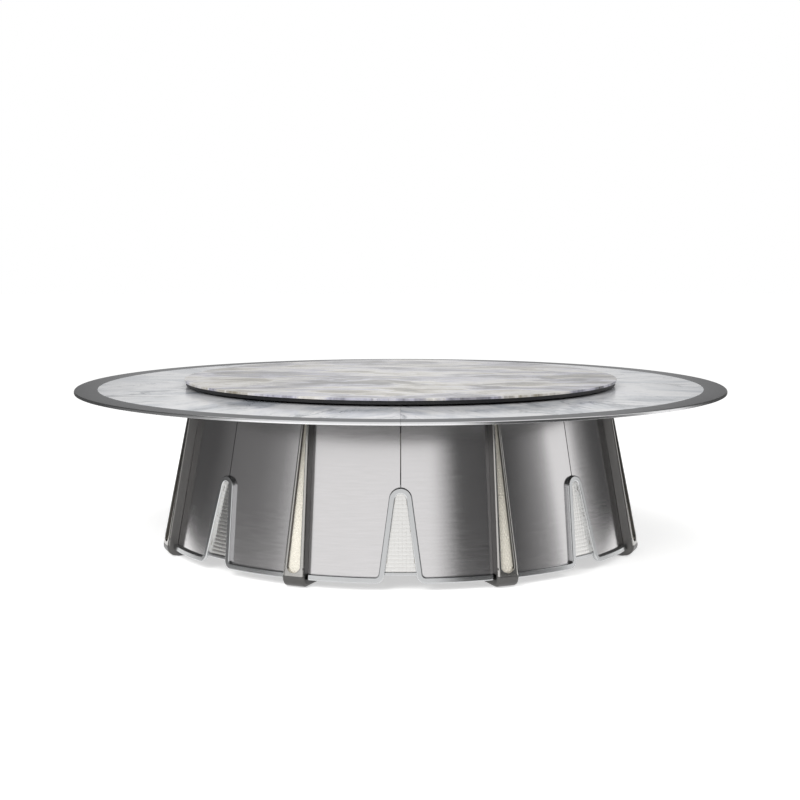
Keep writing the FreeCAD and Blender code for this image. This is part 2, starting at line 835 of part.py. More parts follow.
def turntable_board():
    body = new_body("turntable_board")
    revolve(body, [("0", BOARD_BASE), (BOARD_RADIUS, BOARD_BASE),
                   (BOARD_RADIUS, BOARD_TOP), ("0", BOARD_TOP)])
    return body


def turntable_band():
    """Black lipping round the board."""
    body = new_body("turntable_band")
    inner = f"({BOARD_RADIUS} + band_gap)"
    outer = f"({BOARD_RADIUS} + band_thickness)"
    revolve(body, [(inner, BOARD_BASE), (outer, BOARD_BASE), (outer, BOARD_TOP), (inner, BOARD_TOP)])
    return body


def turntable_stones():
    """The stone disc, cut in equal sectors with a small bevel round the rim."""
    body = new_body("turntable_stones")
    top = f"({BOARD_TOP} + turntable_stone)"
    revolve(body, [
        ("0", BOARD_TOP),
        (TURN_RADIUS, BOARD_TOP),
        (TURN_RADIUS, f"({top} - turntable_chamfer)"),
        (f"({TURN_RADIUS} - turntable_chamfer)", top),
        ("0", top),
    ])
    joint = pocket(body, outline(body, "XY_Plane", [
        ("-turntable_diameter", "-seat_gap / 2"),
        ("turntable_diameter", "-seat_gap / 2"),
        ("turntable_diameter", "seat_gap / 2"),
        ("-turntable_diameter", "seat_gap / 2"),
    ], lift=BOARD_TOP), "turntable_stone")
    pattern(body, "turntable_sectors", [joint])
    turn_to(body, RIB_ANGLES[0])
    return body


pieces.append(turntable_board())
pieces.append(turntable_band())
pieces.append(turntable_stones())

# ---- write -------------------------------------------------------------------------------------

os.makedirs("parts", exist_ok=True)
for thing in doc.Objects:
    if "Invalid" in thing.State or "Error" in thing.State:
        raise RuntimeError(f"{thing.Label}: {thing.State}")
for piece in pieces:
    if piece.Shape.isNull() or not piece.Shape.isValid():
        raise RuntimeError(f"{piece.Label} has no valid shape")
for piece in pieces:
    piece.Shape.exportStep(f"parts/{piece.Label}.step")
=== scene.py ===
import math

import bmesh
import bpy
from mathutils import Matrix, Vector


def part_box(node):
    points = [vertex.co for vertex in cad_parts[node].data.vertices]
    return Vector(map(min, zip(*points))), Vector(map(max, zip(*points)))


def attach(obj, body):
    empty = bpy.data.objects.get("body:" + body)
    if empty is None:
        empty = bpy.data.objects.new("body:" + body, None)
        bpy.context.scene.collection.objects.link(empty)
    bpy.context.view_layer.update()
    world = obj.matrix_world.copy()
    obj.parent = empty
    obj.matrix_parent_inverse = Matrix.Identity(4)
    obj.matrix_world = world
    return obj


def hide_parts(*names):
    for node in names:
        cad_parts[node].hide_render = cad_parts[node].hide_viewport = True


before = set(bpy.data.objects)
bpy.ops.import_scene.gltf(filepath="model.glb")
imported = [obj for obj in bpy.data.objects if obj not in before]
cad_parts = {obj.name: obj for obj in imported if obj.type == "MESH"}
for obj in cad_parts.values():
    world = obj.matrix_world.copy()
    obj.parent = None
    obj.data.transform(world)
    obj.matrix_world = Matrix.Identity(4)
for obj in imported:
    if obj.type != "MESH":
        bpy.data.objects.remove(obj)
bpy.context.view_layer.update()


# ---- The room: a pale floor, soft lamps and a ring of cards --------------------------------------
# A plain white studio. Floor and air read as white and keep the table's shadow. Dark cards stand in a
# ring round the table to give the polished metal its bands. None of it belongs to the table.

def linear(colour):
    """An sRGB hex colour as the linear values that the shaders take."""
    parts = [int(colour[i:i + 2], 16) / 255 for i in (0, 2, 4)]
    return tuple(part / 12.92 if part <= 0.04045 else ((part + 0.055) / 1.055) ** 2.4
                 for part in parts) + (1.0,)


def add(tree, kind, settings=None, sockets=None):
    """A new node with its settings. Each socket, by name or number, gets a link or else a value."""
    made = tree.nodes.new(kind)
    for name, value in (settings or {}).items():
        setattr(made, name, value)
    for name, value in (sockets or {}).items():
        if isinstance(value, bpy.types.NodeSocket):
            tree.links.new(value, made.inputs[name])
        else:
            made.inputs[name].default_value = value
    return made


def empty_material(name):
    material = bpy.data.materials.new(name)
    material.use_nodes = True
    material.node_tree.nodes.clear()
    return material, material.node_tree


def seen_or_mirrored(tree):
    """1 for what the camera sees, in metal or through glass too, and 0 for light on the object."""
    path = add(tree, "ShaderNodeLightPath")
    plain = add(tree, "ShaderNodeMath", {"operation": "MAXIMUM"},
                {0: path.outputs["Is Camera Ray"], 1: path.outputs["Is Glossy Ray"]})
    return add(tree, "ShaderNodeMath", {"operation": "MAXIMUM"},
               {0: plain.outputs[0], 1: path.outputs["Is Transmission Ray"]}).outputs[0]


def linked(name, data):
    """A new object in the scene that holds this mesh, lamp or camera."""
    thing = bpy.data.objects.new(name, data)
    bpy.context.scene.collection.objects.link(thing)
    return thing


FLOOR_REACH = 40.0
FLOOR_LIFT = 0.55
WORLD_LIGHT = 0.55

# Matt floor paint. It reads as white right up to the air behind it and still takes the soft shadow.
floor_paint, tree = empty_material("matt_floor_paint")
lift = add(tree, "ShaderNodeMath", {"operation": "MULTIPLY"}, {0: seen_or_mirrored(tree), 1: FLOOR_LIFT})
paint = add(tree, "ShaderNodeBsdfDiffuse", {}, {"Color": linear("f1f1f0")})
glow = add(tree, "ShaderNodeEmission", {}, {"Color": linear("ffffff"), "Strength": lift.outputs[0]})
both = add(tree, "ShaderNodeAddShader", {}, {0: paint.outputs[0], 1: glow.outputs[0]})
add(tree, "ShaderNodeOutputMaterial", {}, {"Surface": both.outputs[0]})

floor_mesh = bpy.data.meshes.new("floor")
floor_mesh.from_pydata([(-FLOOR_REACH, -FLOOR_REACH, 0), (FLOOR_REACH, -FLOOR_REACH, 0),
                        (FLOOR_REACH, FLOOR_REACH, 0), (-FLOOR_REACH, FLOOR_REACH, 0)], [], [(0, 1, 2, 3)])
floor_mesh.materials.append(floor_paint)
floor = linked("floor", floor_mesh)

world = bpy.data.worlds.new("studio_air")
bpy.context.scene.world = world
world.use_nodes = True
tree = world.node_tree
tree.nodes.clear()
strength = add(tree, "ShaderNodeMapRange", {}, {0: seen_or_mirrored(tree), 3: WORLD_LIGHT, 4: 1.0})
air = add(tree, "ShaderNodeBackground", {}, {"Color": linear("ffffff"), "Strength": strength.outputs[0]})
add(tree, "ShaderNodeOutputWorld", {}, {"Surface": air.outputs[0]})


def lamp(name, place, aim, width, depth, watts):
    """A soft lamp that lights the table but doesn't show in polished metal."""
    light = bpy.data.lights.new(name, "AREA")
    light.shape = "RECTANGLE"
    light.size, light.size_y, light.energy = width, depth, watts
    holder = linked(name, light)
    holder.location = place
    holder.rotation_euler = (Vector(aim) - Vector(place)).to_track_quat("-Z", "Y").to_euler()
    holder.visible_glossy = False


lamp("key_lamp", (-2.6, -4.8, 3.4), (0, 0, 0.4), 3.0, 3.0, 210)
lamp("fill_lamp", (4.2, -2.6, 3.6), (0, 0, 0.5), 2.6, 2.6, 60)
lamp("top_lamp", (0.4, 1.2, 5.0), (0, 0, 0.7), 4.0, 3.0, 75)

# Each stop is an azimuth in degrees from the front, and how dark the card is there.
CARD_RING = 3.2
CARD_HEIGHT = 4.5
CARD_STEPS = 180
CARD_SHADE = 0.085
CARDS = [(-176, 0.3), (-164, 0.45), (-150, 0.45), (-125, 1), (-95, 1), (-80, 0.9), (-62, 0.87),
         (-52, 0.77), (-45, 0.5), (-38, 0), (13, 0), (23, 0.97), (46, 1), (52, 0.93), (61, 0.74),
         (66, 0.5), (69, 0.15), (70, 0), (82, 0), (86, 0.4), (90, 0.75), (98, 0.95), (104, 1),
         (125, 1), (150, 0.45), (164, 0.45), (176, 0.3)]

# Grey flannel on a frame. Its edges are soft, so that a band in the metal fades instead of ending.
card_cloth, tree = empty_material("soft_edged_flannel")
place = add(tree, "ShaderNodeUVMap", {"uv_map": "azimuth"})
split = add(tree, "ShaderNodeSeparateXYZ", {}, {0: place.outputs[0]})
ramp = add(tree, "ShaderNodeValToRGB", {}, {0: split.outputs[0]})
stops = ramp.color_ramp.elements
stops[0].position = (CARDS[0][0] + 180) / 360
stops[1].position = (CARDS[-1][0] + 180) / 360
for azimuth, dark in CARDS[1:-1]:
    stops.new((azimuth + 180) / 360)
for stop, (azimuth, dark) in zip(stops, CARDS):
    stop.color = (dark, dark, dark, 1)
clear = add(tree, "ShaderNodeBsdfTransparent")
shade = add(tree, "ShaderNodeEmission", {}, {"Color": linear("ffffff"), "Strength": CARD_SHADE})
blend = add(tree, "ShaderNodeMixShader", {}, {0: ramp.outputs[0], 1: clear.outputs[0], 2: shade.outputs[0]})
add(tree, "ShaderNodeOutputMaterial", {}, {"Surface": blend.outputs[0]})

card_points = []
for step in range(CARD_STEPS + 1):
    azimuth = math.tau * step / CARD_STEPS - math.pi
    for height in (0.0, CARD_HEIGHT):
        card_points.append((CARD_RING * math.sin(azimuth), -CARD_RING * math.cos(azimuth), height))
card_mesh = bpy.data.meshes.new("cards")
card_mesh.from_pydata(card_points, [],
                      [(2 * i, 2 * i + 2, 2 * i + 3, 2 * i + 1) for i in range(CARD_STEPS)])
card_uv = card_mesh.uv_layers.new(name="azimuth")
for loop in card_mesh.loops:
    card_uv.data[loop.index].uv = (loop.vertex_index // 2 / CARD_STEPS, loop.vertex_index % 2)
card_mesh.materials.append(card_cloth)
cards = linked("cards", card_mesh)
for kind in ("camera", "diffuse", "transmission", "volume_scatter", "shadow"):
    setattr(cards, f"visible_{kind}", False)

# The camera looks down a little, from 1.4 m above the floor and 6.7 m in front of the table's axis.
CAMERA_PLACE = (0, -6.680, 1.394)
CAMERA_TILT = math.radians(83.73)
CAMERA_LENS = 61.36
CAMERA_SENSOR = 36
CAMERA_SHIFT = (-0.0008, 0.0043)

camera_data = bpy.data.cameras.new("camera")
camera = linked("camera", camera_data)
camera.location = CAMERA_PLACE
camera.rotation_euler = (CAMERA_TILT, 0, 0)
camera_data.sensor_width = CAMERA_SENSOR
camera_data.lens = CAMERA_LENS
camera_data.shift_x, camera_data.shift_y = CAMERA_SHIFT
bpy.context.scene.camera = camera
bpy.context.scene.view_settings.view_transform = "Standard"


# ---- Stone ring: eight slabs round the turntable -------------------------------------------------
# The fixed part of the top. Eight sectors of polished white marble, 20 mm thick, bonded to the deck
# with their fine joints on the middles of the bays. Each slab is cut from its own place in the block.

BAYS = 8
BAY = math.tau / BAYS
BAY_AZIMUTHS = [-math.pi / 2 + index * BAY for index in range(BAYS)]
RIB_AZIMUTHS = [azimuth + BAY / 2 for azimuth in BAY_AZIMUTHS]
JOINT = 0.001
STONE_INNER = 0.900
STONE_OUTER = 1.4567
STONE_ARRIS = 0.0012
STONE_STEPS = 40
BLOCK_STEP = (4.1, 1.7)
VEIN_DRIFT = (0.9, 0.9, 0.9)
SHARP_ANGLE = math.radians(35)
SAME_POINT = 1e-6
NO_LENGTH = 1e-7


def finish(name, **surface):
    """A material with one Principled shader, whose constants are set on its own sockets."""
    material, tree = empty_material(name)
    shader = add(tree, "ShaderNodeBsdfPrincipled", {},
                 {socket.replace("_", " "): value for socket, value in surface.items()})
    add(tree, "ShaderNodeOutputMaterial", {}, {"Surface": shader.outputs[0]})
    return material, tree, shader


def rounded(corners, steps=4):
    """A closed outline whose corners (x, y, radius) are drawn as arcs."""
    line = []
    for index, here in enumerate(corners):
        corner = Vector(here[:2])
        if len(here) == 2:
            line.append(tuple(corner))
            continue
        into = (Vector(corners[index - 1][:2]) - corner).normalized()
        away = (Vector(corners[(index + 1) % len(corners)][:2]) - corner).normalized()
        half = into.angle(away) / 2
        centre = corner + (into + away).normalized() * (here[2] / math.sin(half))
        start = corner + into * (here[2] / math.tan(half)) - centre
        end = corner + away * (here[2] / math.tan(half)) - centre
        turn = math.atan2(start.x * end.y - start.y * end.x, start.dot(end))
        for step in range(steps + 1):
            angle = turn * step / steps
            line.append((centre.x + start.x * math.cos(angle) - start.y * math.sin(angle),
                         centre.y + start.x * math.sin(angle) + start.y * math.cos(angle)))
    return line


def made_piece(name, sheets, caps, material):
    """One object from sheets of (point, surface place) rows, closed by flat caps."""
    points, places, faces = [], [], []
    for rows in sheets:
        first, width = len(points), len(rows[0])
        for row in rows:
            points += [point for point, place in row]
            places += [place for point, place in row]
        for i in range(len(rows) - 1):
            for j in range(width - 1):
                corner = first + i * width + j
                faces.append((corner, corner + 1, corner + width + 1, corner + width))
    for cap in caps:
        faces.append(tuple(range(len(points), len(points) + len(cap))))
        points += [point for point, place in cap]
        places += [place for point, place in cap]
    mesh = bpy.data.meshes.new(name)
    mesh.from_pydata(points, [], faces)
    surface = mesh.uv_layers.new(name="surface")
    for loop in mesh.loops:
        surface.data[loop.index].uv = places[loop.vertex_index]
    solid = bmesh.new()
    solid.from_mesh(mesh)
    bmesh.ops.remove_doubles(solid, verts=solid.verts, dist=SAME_POINT)
    bmesh.ops.dissolve_degenerate(solid, dist=NO_LENGTH, edges=solid.edges)
    bmesh.ops.recalc_face_normals(solid, faces=solid.faces)
    solid.to_mesh(mesh)
    solid.free()
    mesh.shade_smooth()
    mesh.set_sharp_from_angle(angle=SHARP_ANGLE)
    mesh.materials.append(material)
    return linked(name, mesh)


def true_flats(piece):
    """Keeps flat faces flat in the light where they run into a rounded edge."""
    flats = piece.modifiers.new("true_flats", "WEIGHTED_NORMAL")
    flats.keep_sharp = True
    return piece


def turned(profile, middle, half, steps, flat=False, shift=(0, 0)):
    """Sheet and end caps of a profile (radius, height) swept about Z.

    The surface place runs round and along the profile in metres, or, if flat, is the plan of the
    piece with its middle along the first axis.
    """
    ring = profile + profile[:1]
    lengths = [0.0]
    for before, here in zip(ring, ring[1:]):
        lengths.append(lengths[-1] + math.dist(before, here))
    rows = []
    for step in range(steps + 1):
        turn = -half + 2 * half * step / steps
        row = []
        for (radius, height), length in zip(ring, lengths):
            point = (radius * math.cos(middle + turn), radius * math.sin(middle + turn), height)
            place = (radius * math.cos(turn), radius * math.sin(turn)) if flat else (radius * turn, length)
            row.append((point, (place[0] + shift[0], place[1] + shift[1])))
        rows.append(row)
    return [rows], [rows[0][:-1], rows[-1][:-1]]


def polished_stone(name, clouds_of, vein, turn, stretch, veins):
    """Marble: soft clouds of (place, tone), and dark veins of (scale, width, strength)."""
    material, tree, shader = finish(name, IOR=1.49)
    place = add(tree, "ShaderNodeUVMap", {"uv_map": "surface"})
    laid = add(tree, "ShaderNodeMapping", {}, {"Vector": place.outputs[0], "Scale": stretch,
                                               "Rotation": (0, 0, math.radians(turn))})
    drift = add(tree, "ShaderNodeTexNoise", {}, {"Vector": laid.outputs[0], "Scale": 1.4, "Detail": 5.0,
                                                 "Roughness": 0.55})
    centred = add(tree, "ShaderNodeVectorMath", {"operation": "SUBTRACT"},
                  {0: drift.outputs["Color"], 1: (0.5, 0.5, 0.5)})
    bent = add(tree, "ShaderNodeVectorMath", {"operation": "MULTIPLY_ADD"},
               {0: centred.outputs[0], 1: VEIN_DRIFT, 2: laid.outputs[0]})
    clouds = add(tree, "ShaderNodeTexNoise", {}, {"Vector": bent.outputs[0], "Scale": 2.2, "Detail": 8.0,
                                                  "Roughness": 0.6})
    ramp = add(tree, "ShaderNodeValToRGB", {}, {0: clouds.outputs[0]})
    tones = ramp.color_ramp.elements
    tones[0].position, tones[0].color = clouds_of[0][0], linear(clouds_of[0][1])
    tones[1].position, tones[1].color = clouds_of[-1][0], linear(clouds_of[-1][1])
    for position, tone in clouds_of[1:-1]:
        tones.new(position).color = linear(tone)
    colour = ramp.outputs[0]
    for scale, width, depth in veins:
        wander = add(tree, "ShaderNodeTexNoise", {}, {"Vector": bent.outputs[0], "Scale": scale,
                                                      "Detail": 4.0, "Roughness": 0.5, "Distortion": 0.4})
        ridge = add(tree, "ShaderNodeMath", {"operation": "SUBTRACT"}, {0: wander.outputs[0], 1: 0.5})
        ridge = add(tree, "ShaderNodeMath", {"operation": "ABSOLUTE"}, {0: ridge.outputs[0]})
        line = add(tree, "ShaderNodeMapRange", {"interpolation_type": "SMOOTHSTEP"},
                   {0: ridge.outputs[0], 2: width, 3: depth, 4: 0.0})
        patch = add(tree, "ShaderNodeTexNoise", {}, {"Vector": bent.outputs[0], "Scale": 0.8 * scale,
                                                     "Detail": 2.0})
        patch = add(tree, "ShaderNodeMapRange", {}, {0: patch.outputs[0], 1: 0.42, 2: 0.62})
        line = add(tree, "ShaderNodeMath", {"operation": "MULTIPLY"},
                   {0: line.outputs[0], 1: patch.outputs[0]})
        layer = add(tree, "ShaderNodeMix", {"data_type": "RGBA"},
                    {0: line.outputs[0], 6: colour, 7: linear(vein)})
        colour = layer.outputs[2]
    tree.links.new(colour, shader.inputs["Base Color"])
    polish = add(tree, "ShaderNodeMapRange", {}, {0: clouds.outputs[0], 3: 0.10, 4: 0.17})
    tree.links.new(polish.outputs[0], shader.inputs["Roughness"])
    return material


# White marble, sawn and polished. Soft blue-grey clouds about 300 mm across and a few thin veins show
# under a clear gloss that mirrors what is beyond the table.
white_marble = polished_stone(
    "polished_white_marble",
    [(0.32, "a2a6ad"), (0.42, "c4c7cc"), (0.52, "dededf"), (0.62, "cfd0d5"), (0.72, "e2e2e2")],
    "6b7078", turn=38, stretch=(0.6, 1.5, 1.0),
    veins=((1.5, 0.022, 0.75), (3.6, 0.016, 0.55), (9.0, 0.02, 0.3)))

for index in range(BAYS):
    node = f"stone_ring_{index + 1}"
    low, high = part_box(node)
    profile = rounded([(STONE_INNER, low.z), (STONE_OUTER, low.z), (STONE_OUTER, high.z, STONE_ARRIS),
                       (STONE_INNER, high.z, STONE_ARRIS)])
    half = BAY / 2 - math.asin(JOINT / 2 / STONE_OUTER)
    sheets, caps = turned(profile, RIB_AZIMUTHS[index], half, STONE_STEPS, flat=True,
                          shift=(BLOCK_STEP[0] * index, BLOCK_STEP[1] * index))
    slab = true_flats(made_piece(f"stone_slab_{index + 1}", sheets, caps, white_marble))
    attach(slab, "table")
    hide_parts(node)


# ---- Turntable stone: a polished disc in four sectors --------------------------------------------
# The raised turning top that guests share. Grey marble with long dark and olive veins, 10 mm thick,
# bonded to a round board and cut in four so that it can be lifted; the rim has a small bevel.

TURNTABLE_RADIUS = 1.050
TURNTABLE_BEVEL = 0.002
TURNTABLE_JOINT = 0.0003
TURNTABLE_STEPS = 90
SECTORS = 4
SECTOR_TIP = 0.0004

# Grey marble, bookmatched and polished like glass. Lavender and olive clouds lie in long drifts across
# the disc with dark brown veins along them.
grey_marble = polished_stone(
    "polished_grey_marble",
    [(0.30, "46423b"), (0.38, "8f8878"), (0.45, "d2cfcb"), (0.52, "b2b1bd"), (0.58, "77767f"),
     (0.65, "bdb8ae"), (0.74, "5c5851")],
    "443f3b", turn=-8, stretch=(0.7, 1.6, 1.0),
    veins=((1.3, 0.045, 1.0), (3.0, 0.03, 0.85), (8.0, 0.02, 0.4)))

low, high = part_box("turntable_stones")
for index in range(SECTORS):
    middle = RIB_AZIMUTHS[0] + math.tau / SECTORS * (index + 0.5)
    half = math.pi / SECTORS - math.asin(TURNTABLE_JOINT / 2 / TURNTABLE_RADIUS)
    profile = rounded([(SECTOR_TIP, low.z), (TURNTABLE_RADIUS, low.z),
                       (TURNTABLE_RADIUS, high.z, TURNTABLE_BEVEL), (SECTOR_TIP, high.z)])
    sheets, caps = turned(profile, middle, half, TURNTABLE_STEPS, flat=True)
    spin = Matrix.Rotation(middle, 2)
    sheets = [[[(point, tuple(spin @ Vector(place))) for point, place in row] for row in sheets[0]]]
    caps = [[(point, tuple(spin @ Vector(place))) for point, place in cap] for cap in caps]
    sector = true_flats(made_piece(f"turntable_stone_{index + 1}", sheets, caps, grey_marble))
    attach(sector, "turntable")
    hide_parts("turntable_stones")


# ---- Turntable board and its lipping -------------------------------------------------------------
# A round board of black-faced ply under the stone, with a thin black lipping pressed round its edge.
# It hides in the shadow gap between the two stones.

def toned(tree, shader, marks, tones, sheen):
    """Runs a shader's colour between two tones and its roughness between two values, by the marks."""
    tone = add(tree, "ShaderNodeMix", {"data_type": "RGBA"},
               {0: marks, 6: linear(tones[0]), 7: linear(tones[1])})
    dull = add(tree, "ShaderNodeMapRange", {}, {"Value": marks, "To Min": sheen[0], "To Max": sheen[1]})
    tree.links.new(tone.outputs[2], shader.inputs["Base Color"])
    tree.links.new(dull.outputs[0], shader.inputs["Roughness"])


def dented(tree, shader, height, strength, depth):
    """Gives a shader's surface a fine relief, with its depth in metres."""
    relief = add(tree, "ShaderNodeBump", {}, {"Strength": strength, "Distance": depth, "Height": height})
    tree.links.new(relief.outputs[0], shader.inputs["Normal"])


def mottled(name, scale, detail, tones, sheen, relief=None, broken=0.5, **surface):
    """A finish with one even mottle, whose scale is marks to the metre, and perhaps a relief."""
    material, tree, shader = finish(name, **surface)
    place = add(tree, "ShaderNodeTexCoord")
    marks = add(tree, "ShaderNodeTexNoise", {}, {"Vector": place.outputs["Object"], "Scale": scale,
                                                 "Detail": detail, "Roughness": broken})
    toned(tree, shader, marks.outputs[0], tones, sheen)
    if relief:
        dented(tree, shader, marks.outputs[0], *relief)
    return material


# High-pressure laminate with a fine pebble. It stays almost black and takes only a dull sheen; the
# 0.3 mm pebble is drawn about 1 mm across so that it shows.
black_laminate = mottled("black_laminate", 900.0, 3.0, ("0f0f10", "1b1b1d"), (0.38, 0.55),
                         relief=(0.15, 0.0004), IOR=1.5)


def dress(node, material):
    """Gives a frame node its finish."""
    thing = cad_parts[node]
    for holder in thing.material_slots:
        holder.material = material


dress("turntable_board", black_laminate)
dress("turntable_band", black_laminate)


# ---- Swivel bearing: two races, caged rollers ----------------------------------------------------
# Extruded aluminium rings, rolled and machined, with hardened rollers held apart by a nylon cage.
# It sits between the fixed deck and the turntable's board, out of sight.

MARK_DEPTH = 0.0002
MARK_SPREAD = (-0.06, 0.08)


def fine_metal(name, tones, roughness, grain_mm, bump=0.2):
    """Metal read on the piece's own place, with fine marks of the given size."""
    return mottled(name, 1000 / grain_mm, 4.0, tones, [roughness + spread for spread in MARK_SPREAD],
                   relief=(bump, MARK_DEPTH), broken=0.6, Metallic=1.0)


# Machined aluminium: pale and soft, with turning marks. Real ones are 0.2 mm apart, drawn 3 mm.
race_metal = fine_metal("machined_aluminium", ("b9bbbd", "cfd1d3"), 0.3, 3)

# Ground bearing steel: darker and close to a mirror, with faint 2 mm patches of wear.
roller_metal = fine_metal("ground_bearing_steel", ("a8a9ab", "c9cacc"), 0.18, 2)

# Moulded nylon: milky and even, with the soft sheen of a mould face and 4 mm flow marks.
cage_nylon = mottled("moulded_nylon", 260.0, 2.0, ("d9d6cc", "e8e5dc"), (0.42, 0.56), IOR=1.53)

dress("lower_race", race_metal)
dress("upper_race", race_metal)
dress("bearing_rollers", roller_metal)
dress("roller_cage", cage_nylon)


# ---- Metal edge round the top --------------------------------------------------------------------
# Stainless sheet folded over the edge of the deck in eight lengths: a brushed top strip flush with the
# stone, a polished fold and a narrow upright face. The strip is toned darker as painted shade, the fold
# and face paler as a painted highlight. Below, it slopes in to the deck, black as painted shade.

TABLE_RADIUS = 1.565
EDGE_WIDTH = 0.108
EDGE_SHEET = 0.003
EDGE_FOLD = 0.004
EDGE_FACE = 0.009
EDGE_UNDERCUT = 0.220
EDGE_ROUND = 0.005
EDGE_CORNER = 0.0015
EDGE_LIP = 1.3353
EDGE_STEPS = 60
FOLD_ANGLE = math.radians(45)
BRUSH_SPREAD = (-0.03, 0.05)

# How much a face of the folded edge looks up: below the first it is the underside, black as painted
# shade, and from the second on the flat top. Between them, at the rim, are the fold and face, pale as a
# painted highlight.
UNDERSIDE_BELOW = -0.3
FLAT_TOP_FROM = 0.9


def brushed_metal(name, tones, roughness, anisotropy, grain_mm, bump=0.0):
    """Stainless sheet brushed along its length: fine lines that follow the surface place."""
    material, tree, shader = finish(name, Metallic=1.0, Anisotropic=anisotropy, Anisotropic_Rotation=0.25)
    place = add(tree, "ShaderNodeUVMap", {"uv_map": "surface"})
    lines = add(tree, "ShaderNodeMapping", {}, {"Vector": place.outputs[0],
                                                "Scale": (8.0, 1000 / grain_mm, 1.0)})
    grain = add(tree, "ShaderNodeTexNoise", {}, {"Vector": lines.outputs[0], "Scale": 1.0, "Detail": 5.0,
                                                 "Roughness": 0.65})
    slow = add(tree, "ShaderNodeTexNoise", {}, {"Vector": place.outputs[0], "Scale": 2.5, "Detail": 3.0})
    tone = add(tree, "ShaderNodeMix", {"data_type": "RGBA"},
               {0: grain.outputs[0], 6: linear(tones[0]), 7: linear(tones[1])})
    mixed = add(tree, "ShaderNodeMix", {}, {0: 0.5, 2: slow.outputs[0], 3: grain.outputs[0]})
    dull = add(tree, "ShaderNodeMapRange", {}, {"Value": mixed.outputs[0], "From Min": 0.3, "From Max": 0.7,
                                                "To Min": roughness + BRUSH_SPREAD[0],
                                                "To Max": roughness + BRUSH_SPREAD[1]})
    along = add(tree, "ShaderNodeTangent", {"direction_type": "UV_MAP", "uv_map": "surface"})
    tree.links.new(tone.outputs[2], shader.inputs["Base Color"])
    tree.links.new(dull.outputs[0], shader.inputs["Roughness"])
    dented(tree, shader, grain.outputs[0], bump, MARK_DEPTH)
    tree.links.new(along.outputs[0], shader.inputs["Tangent"])
    return material


# Brushed stainless, toned a dark mid grey as painted shade: it is the same sheet as the paler fold. Long
# fine lines run round the table; real lines are 0.1 mm apart, drawn 6 mm.
edge_strip_shaded_steel = brushed_metal("brushed_stainless_painted_shade", ("6d6e71", "7b7c7f"), 0.32, 0.5, 6.0, 0.04)

# The same sheet polished on the fold, toned far paler than the strip as a painted highlight: it draws a
# thin bright line along the front.
edge_fold_lit_steel = brushed_metal("polished_edge_stainless_painted_highlight", ("d6d6d8", "e2e2e3"), 0.14, 0.3, 6.0)

# Matt black on the underside of the edge and on the bevels of the drum's seams, as painted shade: the
# polished drum below mirrors it as a dark band, and the seams show as dark lines.
black_painted_shade, tree, shader = finish("matt_black_painted_shade", IOR=1.5)
place = add(tree, "ShaderNodeUVMap", {"uv_map": "surface"})
peel = add(tree, "ShaderNodeTexNoise", {}, {"Vector": place.outputs[0], "Scale": 300.0, "Detail": 2.0})
toned(tree, shader, peel.outputs[0], ("111112", "1c1c1d"), (0.5, 0.7))

low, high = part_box("edge_band_1")
edge_foot, table_top = low.z, high.z
under_slope = math.atan((table_top - EDGE_FOLD - EDGE_FACE - edge_foot) / EDGE_UNDERCUT)


def edge_outline(gap):
    """The folded edge from its inner end on the top round to the lip, drawn in by a gap."""
    turn = gap * math.tan(FOLD_ANGLE / 2)
    lower = table_top - EDGE_FOLD - EDGE_FACE + gap * math.tan(math.pi / 4 - under_slope / 2)
    inward = TABLE_RADIUS - EDGE_UNDERCUT - gap * math.tan(under_slope / 2)
    return [(TABLE_RADIUS - EDGE_WIDTH, table_top - gap),
            (TABLE_RADIUS - EDGE_FOLD - turn, table_top - gap, EDGE_ROUND),
            (TABLE_RADIUS - gap, table_top - EDGE_FOLD - turn, EDGE_ROUND),
            (TABLE_RADIUS - gap, lower, EDGE_CORNER), (inward, edge_foot + gap), (EDGE_LIP, edge_foot + gap)]


inside = [corner[:2] + (EDGE_CORNER,) if len(corner) == 3 else corner for corner in edge_outline(EDGE_SHEET)]
edge_profile = rounded(edge_outline(0) + inside[::-1])
for index in range(BAYS):
    half = BAY / 2 - math.asin(JOINT / 2 / TABLE_RADIUS)
    sheets, caps = turned(edge_profile, RIB_AZIMUTHS[index], half, EDGE_STEPS)
    band = true_flats(made_piece(f"edge_{index + 1}", sheets, caps, edge_strip_shaded_steel))
    band.data.materials.append(edge_fold_lit_steel)
    band.data.materials.append(black_painted_shade)
    # The underside takes the black painted shade; the fold and face at the rim take the pale painted
    # highlight.
    for face in band.data.polygons:
        if face.normal.z < UNDERSIDE_BELOW:
            face.material_index = 2
        elif face.normal.z < FLAT_TOP_FROM and face.center.xy.length > TABLE_RADIUS - 2 * EDGE_FOLD:
            face.material_index = 1
    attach(band, "table")
    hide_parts(f"edge_band_{index + 1}")


# ---- Deck: boards, packers and let-in steel arms -------------------------------------------------
# Birch plywood ring in quarters round a centre board, with flat steel arms let into its underside
# that carry the overhang. Packers of the same board fill the folded edge. The underside is black.

